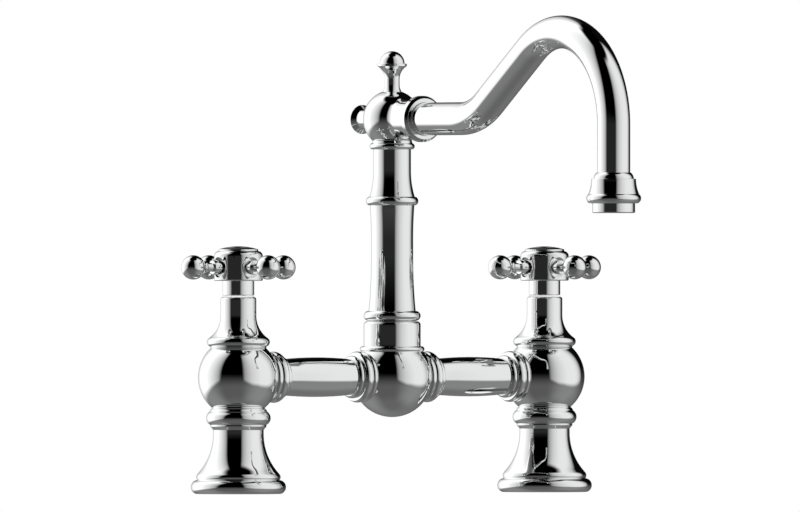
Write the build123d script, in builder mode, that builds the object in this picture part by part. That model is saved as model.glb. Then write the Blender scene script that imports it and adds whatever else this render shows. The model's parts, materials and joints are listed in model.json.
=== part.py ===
from build123d import *
import os
from math import cos, radians, sin, sqrt, tan

# Two-handle bridge kitchen faucet with a swivel spout, in millimetres.
# Frame: +X along the bridge from hot (left) to cold (right), spout towards -Y, +Z up.
# Origin: on the deck plane, midway between the two pillars.

# --- deck and shanks ---------------------------------------------------------
pillar_spacing = 203.2          # hot axis to cold axis, the common 8 inch drilling
deck_thickness = 30.0           # worktop that the shanks pass through
shank_radius = 10.45            # half-inch pipe thread, drawn at its major size
shank_bore_radius = 6.5
shank_tail = 32.0               # shank below the underside of the worktop
shank_chamfer = 1.2
inlet_length = 15.0             # threaded end that takes the supply nut
inlet_groove_width = 2.0
inlet_groove_depth = 0.9

# --- fits ---------------------------------------------------------------------
thread_fit = 0.05               # radial, screwed joints drawn as plain cylinders
slip_fit = 0.30                 # radial, pieces slid over one another
running_fit = 0.06              # radial, turning shafts in their bores
face_film = 0.10                # between flat faces that turn on each other
swivel_gap = 0.30               # open groove where the column turns on its socket

# --- foot ----------------------------------------------------------------------
foot_height = 35.2
flange_radius = 26.0
flange_toe = 23.3
flange_height = 7.5
foot_bead_radius = 22.9
foot_bead_root = 22.1
foot_bead_height = 3.4
waist_radius = 13.9
waist_length = 2.2              # straight neck above the bell
foot_cavity_radius = 16.8
foot_cavity_height = 10.0
foot_web = 8.2                  # solid neck above the hollow
gasket_inset = 2.1
gasket_bore_radius = 14.0
gasket_thickness = 2.0

# --- ring under each ball ------------------------------------------------------
ring_small_radius = 15.3
ring_root_radius = 14.6
ring_torus_radius = 17.8
ring_small_height = 2.0
ring_torus_height = 7.4
ring_top_height = 2.6

# --- valve ball ----------------------------------------------------------------
ball_radius = 22.2
ball_neck_radius = 14.4         # where the ball sits down on its ring
ball_top_radius = 15.2          # flat under the bonnet
shank_engagement = 8.5
seat_web = 3.0
water_way_radius = 6.0
chamber_gap = 2.0               # water space round the cartridge skirt
chamber_roof = 1.0
port_radius = 5.2
cartridge_thread_radius = 10.3

# --- ceramic cartridge ---------------------------------------------------------
seal_height = 1.5
seal_inset = 0.4
skirt_wall = 1.4
disc_radius = 7.3
disc_thickness = 3.4
disc_port_reach = 4.1           # disc axis to the middle of a curved port
disc_port_width = 3.0
disc_port_angle = 38.0
disc_slot_depth = 1.4
window_width = 8.0
flange_across_flats = 22.0
cartridge_flange_height = 3.0
cartridge_neck_radius = 7.5
cartridge_drop = 5.0            # cartridge top below the mouth of the bonnet
spindle_radius = 4.5
driver_flange = 1.2
driver_bar_width = 5.0
driver_bar_height = 4.0
tongue_width = 3.0
tongue_play = 0.1
spline_step = 0.3               # spline below the shaft radius
spline_teeth = 20
spline_depth = 0.5
screw_end_gap = 2.0
shaft_seal_section = 0.9        # section radius of the spindle O-rings
shaft_seal_spacing = 5.0
shaft_seal_count = 2
seal_play = 0.03

# --- bonnet ---------------------------------------------------------------------
bonnet_height = 28.0
bonnet_lip_radius = 15.8
bonnet_lip_root = 15.6
bonnet_lip_height = 1.7
bonnet_bead_radius = 17.3
bonnet_bead_root = 16.2
bonnet_bead_height = 4.0
bonnet_neck_radius = 9.8
bonnet_neck_length = 10.2       # straight part above the flare
bonnet_edge = 0.9
bonnet_skirt_gap = 0.5          # round the corners of the hexagon
glide_height = 0.85             # pale acetal ring seen between bonnet and handle
glide_spigot = 2.2

# --- cross handle ----------------------------------------------------------------
sleeve_radius = 8.7
sleeve_height = 8.0
sleeve_edge = 0.4
hub_radius = 13.4
hub_height = 13.8
hub_bevel = 0.7
hub_shoulder_radius = 11.2
hub_shoulder_height = 2.4
hub_socket_depth = 4.0
hub_web = 4.0
spindle_gap = 0.3
cap_radius = 10.6
cap_rim = 0.4
cap_flat_radius = 7.0
cap_crown_radius = 5.0
cap_height = 2.6
cap_lip = 1.8                   # overhang past the spigot
cap_spigot_depth = 2.2
cap_groove_radius = 6.4
cap_groove_width = 0.5
cap_groove_depth = 0.3
arm_count = 4
arm_height = 7.4                # arm axis above the underside of the hub
arm_seat_radius = 5.6
arm_seat_depth = 3.6
arm_stem_radius = 2.0
arm_stem_length = 4.2
arm_bead_radius = 4.1
arm_bead_root = 3.0
arm_bead_length = 7.4
arm_neck_radius = 2.5
arm_neck_length = 4.0
arm_ring_radius = 3.3
arm_ring_width = 2.5
arm_ball_radius = 6.7
handle_screw_radius = 2.0
handle_screw_length = 14.0
screw_clearance = 0.2
screw_head_radius = 3.5
screw_head_height = 3.0
screw_key_flats = 3.0
screw_key_depth = 1.6

# --- bridge ---------------------------------------------------------------------
bridge_tube_radius = 10.5
bridge_tube_swell = 0.45
bridge_bore_radius = 8.5
bridge_socket_wall = 1.0        # between the swivel bore and a tube socket
union_washer_thickness = 1.5
collar_big_radius = 14.2
collar_big_root = 13.2
collar_big_width = 6.7
collar_groove_width = 0.4
collar_small_radius = 11.9
collar_small_root = 11.7
collar_small_width = 4.3
collar_small_tip = 10.9

# --- centre socket and swivel ----------------------------------------------------
socket_radius = 15.75
socket_edge_radius = 2.0
socket_bead_foot = 17.2         # ball radius where the bead starts
socket_bead_radius = 17.8
socket_bead_crest = 0.8         # widest part above the foot of the bead
socket_bead_height = 2.8
socket_height = 13.9            # above the bead
swivel_bore_radius = 12.0
swivel_bore_depth = 21.0
swivel_ledge = 1.0              # step that carries the bush
mixing_depth = 11.0             # below the bridge axis
piston_neck_gap = 1.0
piston_foot_gap = 0.4
bush_height = 3.6
swivel_seal_section = 1.3
swivel_seal_land = 1.8          # piston beyond each seal groove
lock_groove_width = 3.6
lock_groove_depth = 1.2
lock_screw_radius = 2.5
lock_tip_radius = 1.4

# --- spout column ----------------------------------------------------------------
riser_radius = 8.0
riser_bore_radius = 6.4
riser_engagement = 4.5
foot_ring_radius = 15.75
foot_ring_root = 13.4
foot_ring_height = 5.4
lower_column_height = 63.8
lower_column_foot = 13.0
lower_column_waist = 11.6
lower_column_head = 12.3
lower_waist_start = 35.0        # height of the narrow straight part
lower_waist_end = 45.0
mid_ring_radius = 14.5
mid_ring_root = 13.0
mid_ring_height = 4.7
upper_column_height = 31.0
upper_column_foot = 12.5
upper_column_waist = 10.4
upper_waist_start = 14.0
top_ring_radius = 12.5
top_ring_root = 11.2
top_ring_height = 3.4
head_neck_height = 1.4

# --- spout head, finial and rear plug ---------------------------------------------
head_radius = 16.1
head_foot_radius = 10.9
head_bore_radius = 7.0
head_boss_radius = 10.4
finial_seat_play = 0.1
finial_stem_radius = 3.0
finial_stem_length = 6.5
finial_foot_radius = 5.3
finial_neck_radius = 4.1
finial_cove_height = 4.0
finial_neck_length = 3.0
finial_cup_height = 7.2
finial_rim_height = 1.4
finial_rim_radius = 8.1
finial_ball_radius = 6.9
plug_radius = 8.2
plug_length = 16.9
plug_edge = 3.0
plug_stem_length = 5.2

# --- spout tube ---------------------------------------------------------------------
spout_tube_radius = 9.05
spout_wall = 1.5
spout_reach = 218.0
spout_elbow_reach = 84.0        # where the level run would meet the slope
spout_slope = 35.0              # degrees above level
spout_elbow_bend = 46.6         # centreline radius of the first bend
spout_crown_bend = 50.9         # centreline radius over the crown
spout_socket_start = 15.0
spout_collar_radius = 12.9
spout_collar_face = 30.6
spout_collar_thickness = 3.4
spout_collar_bevel = 0.8
spout_cove_radius = 10.7
spout_cove_length = 5.8

# --- outlet ---------------------------------------------------------------------------
outlet_rim_height = 159.6       # above the deck; the rises below are above this rim
outlet_rim_radius = 13.0
outlet_bead_radius = 15.0
outlet_bead_rise = 2.9
outlet_flare_radius = 13.9
outlet_flare_rise = 5.0
outlet_step_radius = 12.2
outlet_step_rise = 13.4
outlet_ogee_radius = 11.0
outlet_ogee_rise = 16.8
outlet_shoulder = 1.0           # inside, between the tube and the aerator washer
aerator_thread_radius = 11.0
aerator_thread_length = 6.0
aerator_radius = 11.7
aerator_height = 5.3
aerator_edge = 0.5
aerator_wall = 1.4
aerator_lip = 0.9
aerator_lip_width = 1.0
aerator_washer_thickness = 1.4
aerator_hole_radius = 0.75
aerator_hole_pitch = 1.35
aerator_hole_rows = 9
insert_height = 8.0
insert_floor = 1.2
insert_wall = 1.0

# --- under-deck fastening ---------------------------------------------------------------
under_washer_radius = 21.0
under_washer_thickness = 3.0
clamp_washer_radius = 20.0
clamp_washer_thickness = 2.0
nut_across_flats = 27.0
nut_height = 8.0


def lathe(origin, along, out):
    """Plane for a half outline: local x is the radius, local y the distance along the axis."""
    return Plane(origin=origin, x_dir=out, z_dir=Vector(out).cross(Vector(along)))


def on_sphere(sphere_radius, ring_radius):
    """Distance from a ball's centre, along an axis, to where its surface has this radius."""
    return sqrt(sphere_radius**2 - ring_radius**2)


def save(piece, label):
    """Name the finished piece and write it."""
    piece.part.label = label
    export_step(piece.part, f"parts/{label}.step")


# --- places worked out from the sizes above ------------------------------------------------
half_span = pillar_spacing / 2
shank_foot = -deck_thickness - shank_tail
ball_bottom = foot_height + ring_small_height + ring_torus_height + ring_top_height
bridge_height = ball_bottom + on_sphere(ball_radius, ball_neck_radius)
ball_top = bridge_height + on_sphere(ball_radius, ball_top_radius)
shank_top = ball_bottom + shank_engagement
seat_top = shank_top + seat_web
disc_bottom = seat_top + seal_height
moving_disc_bottom = disc_bottom + disc_thickness + face_film
driver_bottom = moving_disc_bottom + disc_thickness
driver_top = driver_bottom + driver_bar_height + driver_flange
chamber_top = driver_top + chamber_roof
skirt_bore = disc_radius + slip_fit
skirt_radius = skirt_bore + skirt_wall
chamber_radius = skirt_radius + chamber_gap
seal_radius = skirt_radius - seal_inset
spindle_bore = spindle_radius + running_fit
spline_radius = spindle_radius - spline_step
cartridge_flange_top = ball_top + cartridge_flange_height
bonnet_top = ball_top + bonnet_height
cartridge_top = bonnet_top - cartridge_drop
glide_top = bonnet_top + glide_height
sleeve_bottom = glide_top + face_film
hub_bottom = sleeve_bottom + sleeve_height
hub_top = hub_bottom + hub_height
cap_seat = hub_top + hub_shoulder_height
cap_spigot_radius = cap_radius - cap_lip
web_bottom = hub_bottom + hub_socket_depth
web_top = web_bottom + hub_web
spindle_top = web_bottom - spindle_gap
arm_axis_height = hub_bottom + arm_height
arm_seat_floor = hub_radius - arm_seat_depth
arm_stem_root = arm_seat_floor - arm_stem_length
arm_bead_end = arm_seat_floor + arm_bead_length
arm_ring_start = arm_bead_end + arm_neck_length
arm_ring_end = arm_ring_start + arm_ring_width
arm_ball_reach = arm_ring_end + on_sphere(arm_ball_radius, arm_bead_root)
bridge_socket_face = swivel_bore_radius + bridge_socket_wall
tube_start = bridge_socket_face + union_washer_thickness
tube_end = half_span - tube_start
collar_seat_radius = ball_radius + thread_fit
collar_big_start = on_sphere(collar_seat_radius, collar_big_root)
collar_big_end = collar_big_start + collar_big_width
collar_small_start = collar_big_end + collar_groove_width
collar_end = collar_small_start + collar_small_width
bead_foot = bridge_height + on_sphere(ball_radius, socket_bead_foot)
socket_top = bead_foot + socket_bead_height + socket_height
mixing_radius = swivel_bore_radius - swivel_ledge
piston_neck_radius = mixing_radius - piston_neck_gap
piston_radius = swivel_bore_radius - running_fit
swivel_floor = socket_top - swivel_bore_depth
piston_foot = swivel_floor + piston_foot_gap
piston_shoulder = swivel_floor + bush_height + swivel_gap
swivel_seal_centre = swivel_bore_radius - swivel_seal_section - seal_play
swivel_groove_width = 2 * (swivel_seal_section + seal_play)
lower_seal_height = piston_shoulder + swivel_seal_land + swivel_groove_width / 2
upper_seal_height = socket_top - swivel_seal_land - swivel_groove_width / 2
lock_height = (lower_seal_height + upper_seal_height) / 2
lock_tip_reach = piston_radius - lock_groove_depth + slip_fit
lock_screw_end = socket_radius - slip_fit
column_bore = riser_radius + slip_fit
column_bottom = socket_top + swivel_gap
mid_ring_bottom = column_bottom + lower_column_height
upper_column_bottom = mid_ring_bottom + mid_ring_height
head_bottom = upper_column_bottom + upper_column_height
head_height = head_bottom + on_sphere(head_radius, head_foot_radius)
finial_seat = head_height + on_sphere(head_radius, finial_foot_radius) - finial_seat_play
plug_seat = on_sphere(head_radius, plug_radius) - finial_seat_play
plug_end = plug_seat + plug_length
boss_reach = spout_collar_face - spout_collar_thickness
spout_bore = spout_tube_radius - spout_wall
aerator_bottom = outlet_rim_height - aerator_height
aerator_thread_top = outlet_rim_height + aerator_thread_length
aerator_washer_top = aerator_thread_top + aerator_washer_thickness
aerator_bore_radius = aerator_thread_radius - aerator_wall
aerator_lip_bore = aerator_bore_radius - aerator_lip_width
spout_end_height = aerator_washer_top + outlet_shoulder

os.makedirs("parts", exist_ok=True)

# ==============================================================================
# Pillars, one pass for the hot side (left) and one for the cold side (right)
# ==============================================================================
for side, pillar_x, inward in (("left", -half_span, 1), ("right", half_span, -1)):
    pillar_plane = lathe((pillar_x, 0, 0), (0, 0, 1), (1, 0, 0))
    pillar_axis = Axis((pillar_x, 0, 0), (0, 0, 1))
    bridge_origin = (pillar_x, 0, bridge_height)
    port_plane = Plane(origin=bridge_origin, x_dir=(0, inward, 0), z_dir=(inward, 0, 0))

    # Supply shank: open right through, screwed up into the ball, grooved above the inlet thread.
    with BuildPart() as shank:
        with BuildSketch(Plane((pillar_x, 0, shank_foot))):
            Circle(shank_radius)
            Circle(shank_bore_radius, mode=Mode.SUBTRACT)
        extrude(amount=shank_top - shank_foot)
        chamfer(shank.edges().filter_by(GeomType.CIRCLE).sort_by(SortBy.RADIUS)[-2:], shank_chamfer)
        with BuildSketch(Plane((pillar_x, 0, shank_foot + inlet_length))):
            Circle(shank_radius + shank_chamfer)
            Circle(shank_radius - inlet_groove_depth, mode=Mode.SUBTRACT)
        extrude(amount=inlet_groove_width, mode=Mode.SUBTRACT)
    save(shank, f"{side}_shank")

    # Foot: rounded flange, bead and bell, hollow below, with a recess for its gasket.
    bead_top = flange_height + foot_bead_height
    waist_start = foot_height - waist_length
    gasket_recess = flange_toe - gasket_inset + slip_fit
    with BuildPart() as foot:
        with BuildSketch(pillar_plane):
            with BuildLine():
                ThreePointArc(
                    (flange_toe, 0),
                    (flange_radius, flange_height / 2),
                    (flange_toe, flange_height),
                )
                Line((flange_toe, flange_height), (foot_bead_root, flange_height))
                ThreePointArc(
                    (foot_bead_root, flange_height),
                    (foot_bead_radius, flange_height + foot_bead_height / 2),
                    (foot_bead_root, bead_top),
                )
                TangentArc((waist_radius, waist_start), (foot_bead_root, bead_top), tangent=(0, -1))
                Polyline(
                    (waist_radius, waist_start),
                    (waist_radius, foot_height),
                    (shank_radius + slip_fit, foot_height),
                    (shank_radius + slip_fit, foot_height - foot_web),
                    (foot_cavity_radius, foot_cavity_height),
                    (foot_cavity_radius, gasket_thickness),
                    (gasket_recess, gasket_thickness),
                    (gasket_recess, 0),
                    (flange_toe, 0),
                )
            make_face()
        revolve(axis=pillar_axis)
    save(foot, f"{side}_foot")

    # Ring between foot and ball: small bead, torus, small bead.
    torus_bottom = foot_height + ring_small_height
    torus_top = torus_bottom + ring_torus_height
    with BuildPart() as pillar_ring:
        with BuildSketch(pillar_plane):
            with BuildLine():
                ThreePointArc(
                    (waist_radius, foot_height),
                    (ring_small_radius, foot_height + ring_small_height / 2),
                    (ring_root_radius, torus_bottom),
                )
                ThreePointArc(
                    (ring_root_radius, torus_bottom),
                    (ring_torus_radius, torus_bottom + ring_torus_height / 2),
                    (ring_root_radius, torus_top),
                )
                ThreePointArc(
                    (ring_root_radius, torus_top),
                    (ring_small_radius, torus_top + ring_top_height / 2),
                    (ball_neck_radius, ball_bottom),
                )
                Polyline(
                    (ball_neck_radius, ball_bottom),
                    (shank_radius + slip_fit, ball_bottom),
                    (shank_radius + slip_fit, foot_height),
                    (waist_radius, foot_height),
                )
            make_face()
        revolve(axis=pillar_axis)
    save(pillar_ring, f"{side}_pillar_ring")

    # Valve ball: shank socket below, cartridge chamber above, tube socket at the side.
    with BuildPart() as valve_body:
        with BuildSketch(pillar_plane):
            with BuildLine():
                ThreePointArc(
                    (ball_neck_radius, ball_bottom),
                    (ball_radius, bridge_height),
                    (ball_top_radius, ball_top),
                )
                Polyline(
                    (ball_top_radius, ball_top),
                    (cartridge_thread_radius + thread_fit, ball_top),
                    (cartridge_thread_radius + thread_fit, chamber_top),
                    (chamber_radius, chamber_top),
                    (chamber_radius, seat_top),
                    (water_way_radius, seat_top),
                    (water_way_radius, shank_top),
                    (shank_radius + thread_fit, shank_top),
                    (shank_radius + thread_fit, ball_bottom),
                    (ball_neck_radius, ball_bottom),
                )
            make_face()
        revolve(axis=pillar_axis)
        with BuildSketch(port_plane.offset(bridge_socket_face)):
            Circle(bridge_tube_radius + thread_fit)
        extrude(amount=ball_radius, mode=Mode.SUBTRACT)
        with BuildSketch(port_plane.offset(on_sphere(chamber_radius, port_radius) - slip_fit)):
            Circle(port_radius)
        extrude(amount=ball_radius, mode=Mode.SUBTRACT)
    save(valve_body, f"{side}_valve_body")

    # Cartridge body: windowed skirt round the discs, thread, hexagon and long neck.
    with BuildPart() as cartridge_body:
        with BuildSketch(pillar_plane):
            with BuildLine():
                Polyline(
                    (skirt_radius, seat_top + seal_height),
                    (skirt_radius, chamber_top),
                    (cartridge_thread_radius, chamber_top),
                    (cartridge_thread_radius, cartridge_flange_top),
                    (cartridge_neck_radius, cartridge_flange_top),
                    (cartridge_neck_radius, cartridge_top),
                    (spindle_bore, cartridge_top),
                    (spindle_bore, driver_top + slip_fit),
                    (skirt_bore, driver_top + slip_fit),
                    (skirt_bore, seat_top + seal_height),
                    (skirt_radius, seat_top + seal_height),
                )
            make_face()
        revolve(axis=pillar_axis)
        with BuildSketch(Plane((pillar_x, 0, ball_top))):
            RegularPolygon(flange_across_flats / 2, side_count=6, major_radius=False)
            Circle(cartridge_neck_radius, mode=Mode.SUBTRACT)
        extrude(amount=cartridge_flange_height)
        window_centre = (pillar_x, 0, driver_bottom + driver_bar_height / 2)
        with BuildSketch(Plane(origin=window_centre, x_dir=(1, 0, 0), z_dir=(0, 1, 0))):
            Rectangle(window_width, driver_bar_height)
        extrude(amount=cartridge_thread_radius, both=True, mode=Mode.SUBTRACT)
    save(cartridge_body, f"{side}_cartridge_body")

    # Lip seal between the seat and the fixed disc.
    with BuildPart() as seat_seal:
        with BuildSketch(Plane((pillar_x, 0, seat_top))):
            Circle(seal_radius)
            Circle(water_way_radius, mode=Mode.SUBTRACT)
        extrude(amount=seal_height)
    save(seat_seal, f"{side}_seat_seal")

    # Ceramic discs: the fixed one has two curved ports, the turning one has the same two a
    # quarter turn round, so at rest they are shut, and a slot across its top for the driver.
    with BuildPart() as fixed_disc:
        with BuildSketch(Plane((pillar_x, 0, disc_bottom))):
            Circle(disc_radius)
            for port_turn in (0, 180):
                arc = CenterArc((0, 0), disc_port_reach, port_turn - disc_port_angle / 2, disc_port_angle)
                SlotArc(arc, disc_port_width, mode=Mode.SUBTRACT)
        extrude(amount=disc_thickness)
    save(fixed_disc, f"{side}_fixed_disc")

    with BuildPart() as moving_disc:
        with BuildSketch(Plane((pillar_x, 0, moving_disc_bottom))):
            Circle(disc_radius)
            for port_turn in (90, 270):
                arc = CenterArc((0, 0), disc_port_reach, port_turn - disc_port_angle / 2, disc_port_angle)
                SlotArc(arc, disc_port_width, mode=Mode.SUBTRACT)
        extrude(amount=disc_thickness)
        with BuildSketch(Plane((pillar_x, 0, driver_bottom - disc_slot_depth))):
            Rectangle(2 * chamber_radius, tongue_width + 2 * tongue_play)
        extrude(amount=disc_slot_depth, mode=Mode.SUBTRACT)
    save(moving_disc, f"{side}_moving_disc")

    # Spindle: tongue and bar that turn the disc, thrust flange, sealed shaft and spline.
    seal_centre = spindle_bore - shaft_seal_section - seal_play
    seal_groove_floor = seal_centre - shaft_seal_section - seal_play
    seal_groove_width = 2 * (shaft_seal_section + seal_play)
    seal_heights = [cartridge_top - shaft_seal_spacing * (i + 1) for i in range(shaft_seal_count)]
    shaft_top = cartridge_top + slip_fit
    with BuildPart() as spindle:
        with BuildSketch(Plane((pillar_x, 0, driver_bottom - disc_slot_depth + tongue_play))):
            Rectangle(2 * chamber_radius, tongue_width)
            Circle(disc_radius, mode=Mode.INTERSECT)
        extrude(amount=disc_slot_depth + driver_bar_height)
        with BuildSketch(Plane((pillar_x, 0, driver_bottom + tongue_play))):
            Rectangle(2 * chamber_radius, driver_bar_width)
            Circle(disc_radius, mode=Mode.INTERSECT)
        extrude(amount=driver_bar_height)
        with BuildSketch(Plane((pillar_x, 0, driver_bottom + driver_bar_height))):
            Circle(disc_radius)
        extrude(amount=driver_flange)
        with BuildSketch(Plane((pillar_x, 0, driver_top))):
            Circle(spindle_radius)
        extrude(amount=shaft_top - driver_top)
        with BuildSketch(Plane((pillar_x, 0, shaft_top))):
            Circle(spline_radius)
            with PolarLocations(spline_radius, spline_teeth):
                Rectangle(spline_depth, spline_depth, rotation=45, mode=Mode.SUBTRACT)
        extrude(amount=spindle_top - shaft_top)
        with BuildSketch(pillar_plane):
            for seal_z in seal_heights:
                with Locations(((seal_groove_floor + spindle_bore) / 2, seal_z)):
                    Rectangle(spindle_bore - seal_groove_floor, seal_groove_width)
        revolve(axis=pillar_axis, mode=Mode.SUBTRACT)
        with BuildSketch(Plane((pillar_x, 0, spindle_top))):
            Circle(handle_screw_radius + thread_fit)
        extrude(amount=web_top - handle_screw_length - screw_end_gap - spindle_top, mode=Mode.SUBTRACT)
    save(spindle, f"{side}_spindle")

    with BuildPart() as spindle_seals:
        with BuildSketch(pillar_plane):
            for seal_z in seal_heights:
                with Locations((seal_centre, seal_z)):
                    Circle(shaft_seal_section)
        revolve(axis=pillar_axis)
    save(spindle_seals, f"{side}_spindle_seals")

    # Bonnet: lip, bead and flare over the hexagon, screwed on the cartridge neck.
    lip_top = ball_top + bonnet_lip_height
    bonnet_bead_top = lip_top + bonnet_bead_height
    bonnet_neck_start = bonnet_top - bonnet_neck_length
    bonnet_bore = cartridge_neck_radius + thread_fit
    bonnet_skirt_bore = flange_across_flats / sqrt(3) + bonnet_skirt_gap
    with BuildPart() as bonnet:
        with BuildSketch(pillar_plane):
            with BuildLine():
                ThreePointArc(
                    (ball_top_radius, ball_top),
                    (bonnet_lip_radius, ball_top + bonnet_lip_height / 2),
                    (bonnet_lip_root, lip_top),
                )
                ThreePointArc(
                    (bonnet_lip_root, lip_top),
                    (bonnet_bead_radius, lip_top + bonnet_bead_height / 2),
                    (bonnet_bead_root, bonnet_bead_top),
                )
                TangentArc(
                    (bonnet_neck_radius, bonnet_neck_start),
                    (bonnet_bead_root, bonnet_bead_top),
                    tangent=(0, -1),
                )
                Line(
                    (bonnet_neck_radius, bonnet_neck_start),
                    (bonnet_neck_radius, bonnet_top - bonnet_edge),
                )
                TangentArc(
                    (bonnet_neck_radius, bonnet_top - bonnet_edge),
                    (bonnet_neck_radius - bonnet_edge, bonnet_top),
                    tangent=(0, 1),
                )
                Polyline(
                    (bonnet_neck_radius - bonnet_edge, bonnet_top),
                    (bonnet_bore, bonnet_top),
                    (bonnet_bore, cartridge_flange_top + slip_fit),
                    (bonnet_skirt_bore, cartridge_flange_top + slip_fit),
                    (bonnet_skirt_bore, ball_top),
                    (ball_top_radius, ball_top),
                )
            make_face()
        revolve(axis=pillar_axis)
    save(bonnet, f"{side}_bonnet")

    # Acetal glide ring in the mouth of the bonnet, on which the handle turns.
    with BuildPart() as glide_ring:
        with BuildSketch(Plane((pillar_x, 0, bonnet_top - glide_spigot))):
            Circle(bonnet_bore - thread_fit)
        extrude(amount=glide_spigot)
        with BuildSketch(Plane((pillar_x, 0, bonnet_top))):
            Circle(sleeve_radius)
        extrude(amount=glide_height)
        with BuildSketch(Plane((pillar_x, 0, glide_top))):
            Circle(spline_radius + slip_fit)
        extrude(amount=-(glide_height + glide_spigot), mode=Mode.SUBTRACT)
    save(glide_ring, f"{side}_glide_ring")

    # Handle sleeve under the hub.
    with BuildPart() as handle_sleeve:
        with BuildSketch(Plane((pillar_x, 0, sleeve_bottom))):
            Circle(sleeve_radius)
            Circle(spline_radius + slip_fit, mode=Mode.SUBTRACT)
        extrude(amount=sleeve_height)
        lower_rims = handle_sleeve.edges().filter_by(GeomType.CIRCLE).group_by(Axis.Z)[0]
        fillet(lower_rims.sort_by(SortBy.RADIUS)[-1], sleeve_edge)
    save(handle_sleeve, f"{side}_handle_sleeve")

    # Hub: spline socket below, screw web, round recess above for the cap, four arm seats.
    cap_recess_floor = cap_seat - cap_spigot_depth - slip_fit
    with BuildPart() as handle_hub:
        with BuildSketch(pillar_plane):
            with BuildLine():
                TangentArc(
                    (hub_radius, hub_bottom + hub_bevel),
                    (hub_radius - hub_bevel, hub_bottom),
                    tangent=(0, -1),
                )
                Polyline(
                    (hub_radius, hub_bottom + hub_bevel),
                    (hub_radius, hub_top),
                    (hub_shoulder_radius, cap_seat),
                    (cap_spigot_radius + thread_fit, cap_seat),
                    (cap_spigot_radius + thread_fit, cap_recess_floor),
                    (screw_head_radius + slip_fit, cap_recess_floor),
                    (screw_head_radius + slip_fit, web_top),
                    (handle_screw_radius + screw_clearance, web_top),
                    (handle_screw_radius + screw_clearance, web_bottom),
                    (spline_radius + thread_fit, web_bottom),
                    (spline_radius + thread_fit, hub_bottom),
                    (hub_radius - hub_bevel, hub_bottom),
                )
            make_face()
        revolve(axis=pillar_axis)
        for i in range(arm_count):
            arm_turn = radians(i * 360 / arm_count)
            arm_out = (cos(arm_turn), sin(arm_turn), 0)
            arm_plane = Plane(origin=(pillar_x, 0, arm_axis_height), z_dir=arm_out)
            with BuildSketch(arm_plane.offset(arm_seat_floor)):
                Circle(arm_seat_radius)
            extrude(amount=hub_radius, mode=Mode.SUBTRACT)
            with BuildSketch(arm_plane.offset(arm_stem_root - slip_fit)):
                Circle(arm_stem_radius + thread_fit)
            extrude(amount=hub_radius, mode=Mode.SUBTRACT)
    save(handle_hub, f"{side}_handle_hub")

    # Cross arms: stem, barrel bead, neck, thin ring and ball, one turned piece each.
    with BuildPart() as handle_arms:
        for i in range(arm_count):
            arm_turn = radians(i * 360 / arm_count)
            arm_out = (cos(arm_turn), sin(arm_turn), 0)
            arm_origin = (pillar_x, 0, arm_axis_height)
            with BuildSketch(lathe(arm_origin, arm_out, (0, 0, 1))):
                with BuildLine():
                    Polyline(
                        (0, arm_stem_root),
                        (arm_stem_radius, arm_stem_root),
                        (arm_stem_radius, arm_seat_floor),
                        (arm_bead_root, arm_seat_floor),
                    )
                    ThreePointArc(
                        (arm_bead_root, arm_seat_floor),
                        (arm_bead_radius, (arm_seat_floor + arm_bead_end) / 2),
                        (arm_bead_root, arm_bead_end),
                    )
                    Polyline(
                        (arm_bead_root, arm_bead_end),
                        (arm_neck_radius, arm_bead_end),
                        (arm_neck_radius, arm_ring_start),
                    )
                    ThreePointArc(
                        (arm_neck_radius, arm_ring_start),
                        (arm_ring_radius, (arm_ring_start + arm_ring_end) / 2),
                        (arm_bead_root, arm_ring_end),
                    )
                    ThreePointArc(
                        (arm_bead_root, arm_ring_end),
                        (arm_ball_radius, arm_ball_reach),
                        (0, arm_ball_reach + arm_ball_radius),
                    )
                    Line((0, arm_ball_reach + arm_ball_radius), (0, arm_stem_root))
                make_face()
            revolve(axis=Axis(arm_origin, arm_out))
    save(handle_arms, f"{side}_handle_arms")

    # Screw that holds the hub down on the spindle, with a hexagon key socket.
    with BuildPart() as handle_screw:
        with BuildSketch(Plane((pillar_x, 0, web_top))):
            Circle(screw_head_radius)
        extrude(amount=screw_head_height)
        with BuildSketch(Plane((pillar_x, 0, web_top))):
            Circle(handle_screw_radius)
        extrude(amount=-handle_screw_length)
        with BuildSketch(Plane((pillar_x, 0, web_top + screw_head_height))):
            RegularPolygon(screw_key_flats / 2, side_count=6, major_radius=False)
        extrude(amount=-screw_key_depth, mode=Mode.SUBTRACT)
    save(handle_screw, f"{side}_handle_screw")

    # Index cap: shallow domed disc with a plain engraved ring, snapped into the hub.
    with BuildPart() as index_cap:
        with BuildSketch(pillar_plane):
            with BuildLine():
                Polyline(
                    (0, cap_seat - cap_spigot_depth),
                    (cap_spigot_radius, cap_seat - cap_spigot_depth),
                    (cap_spigot_radius, cap_seat),
                    (cap_radius, cap_seat),
                    (cap_radius, cap_seat + cap_rim),
                )
                RadiusArc(
                    (cap_radius, cap_seat + cap_rim),
                    (cap_flat_radius, cap_seat + cap_height),
                    -cap_crown_radius,
                )
                Polyline(
                    (cap_flat_radius, cap_seat + cap_height),
                    (0, cap_seat + cap_height),
                    (0, cap_seat - cap_spigot_depth),
                )
            make_face()
        revolve(axis=pillar_axis)
        with BuildSketch(Plane((pillar_x, 0, cap_seat + cap_height))):
            Circle(cap_groove_radius)
            Circle(cap_groove_radius - cap_groove_width, mode=Mode.SUBTRACT)
        extrude(amount=-cap_groove_depth, mode=Mode.SUBTRACT)
    save(index_cap, f"{side}_index_cap")

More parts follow.
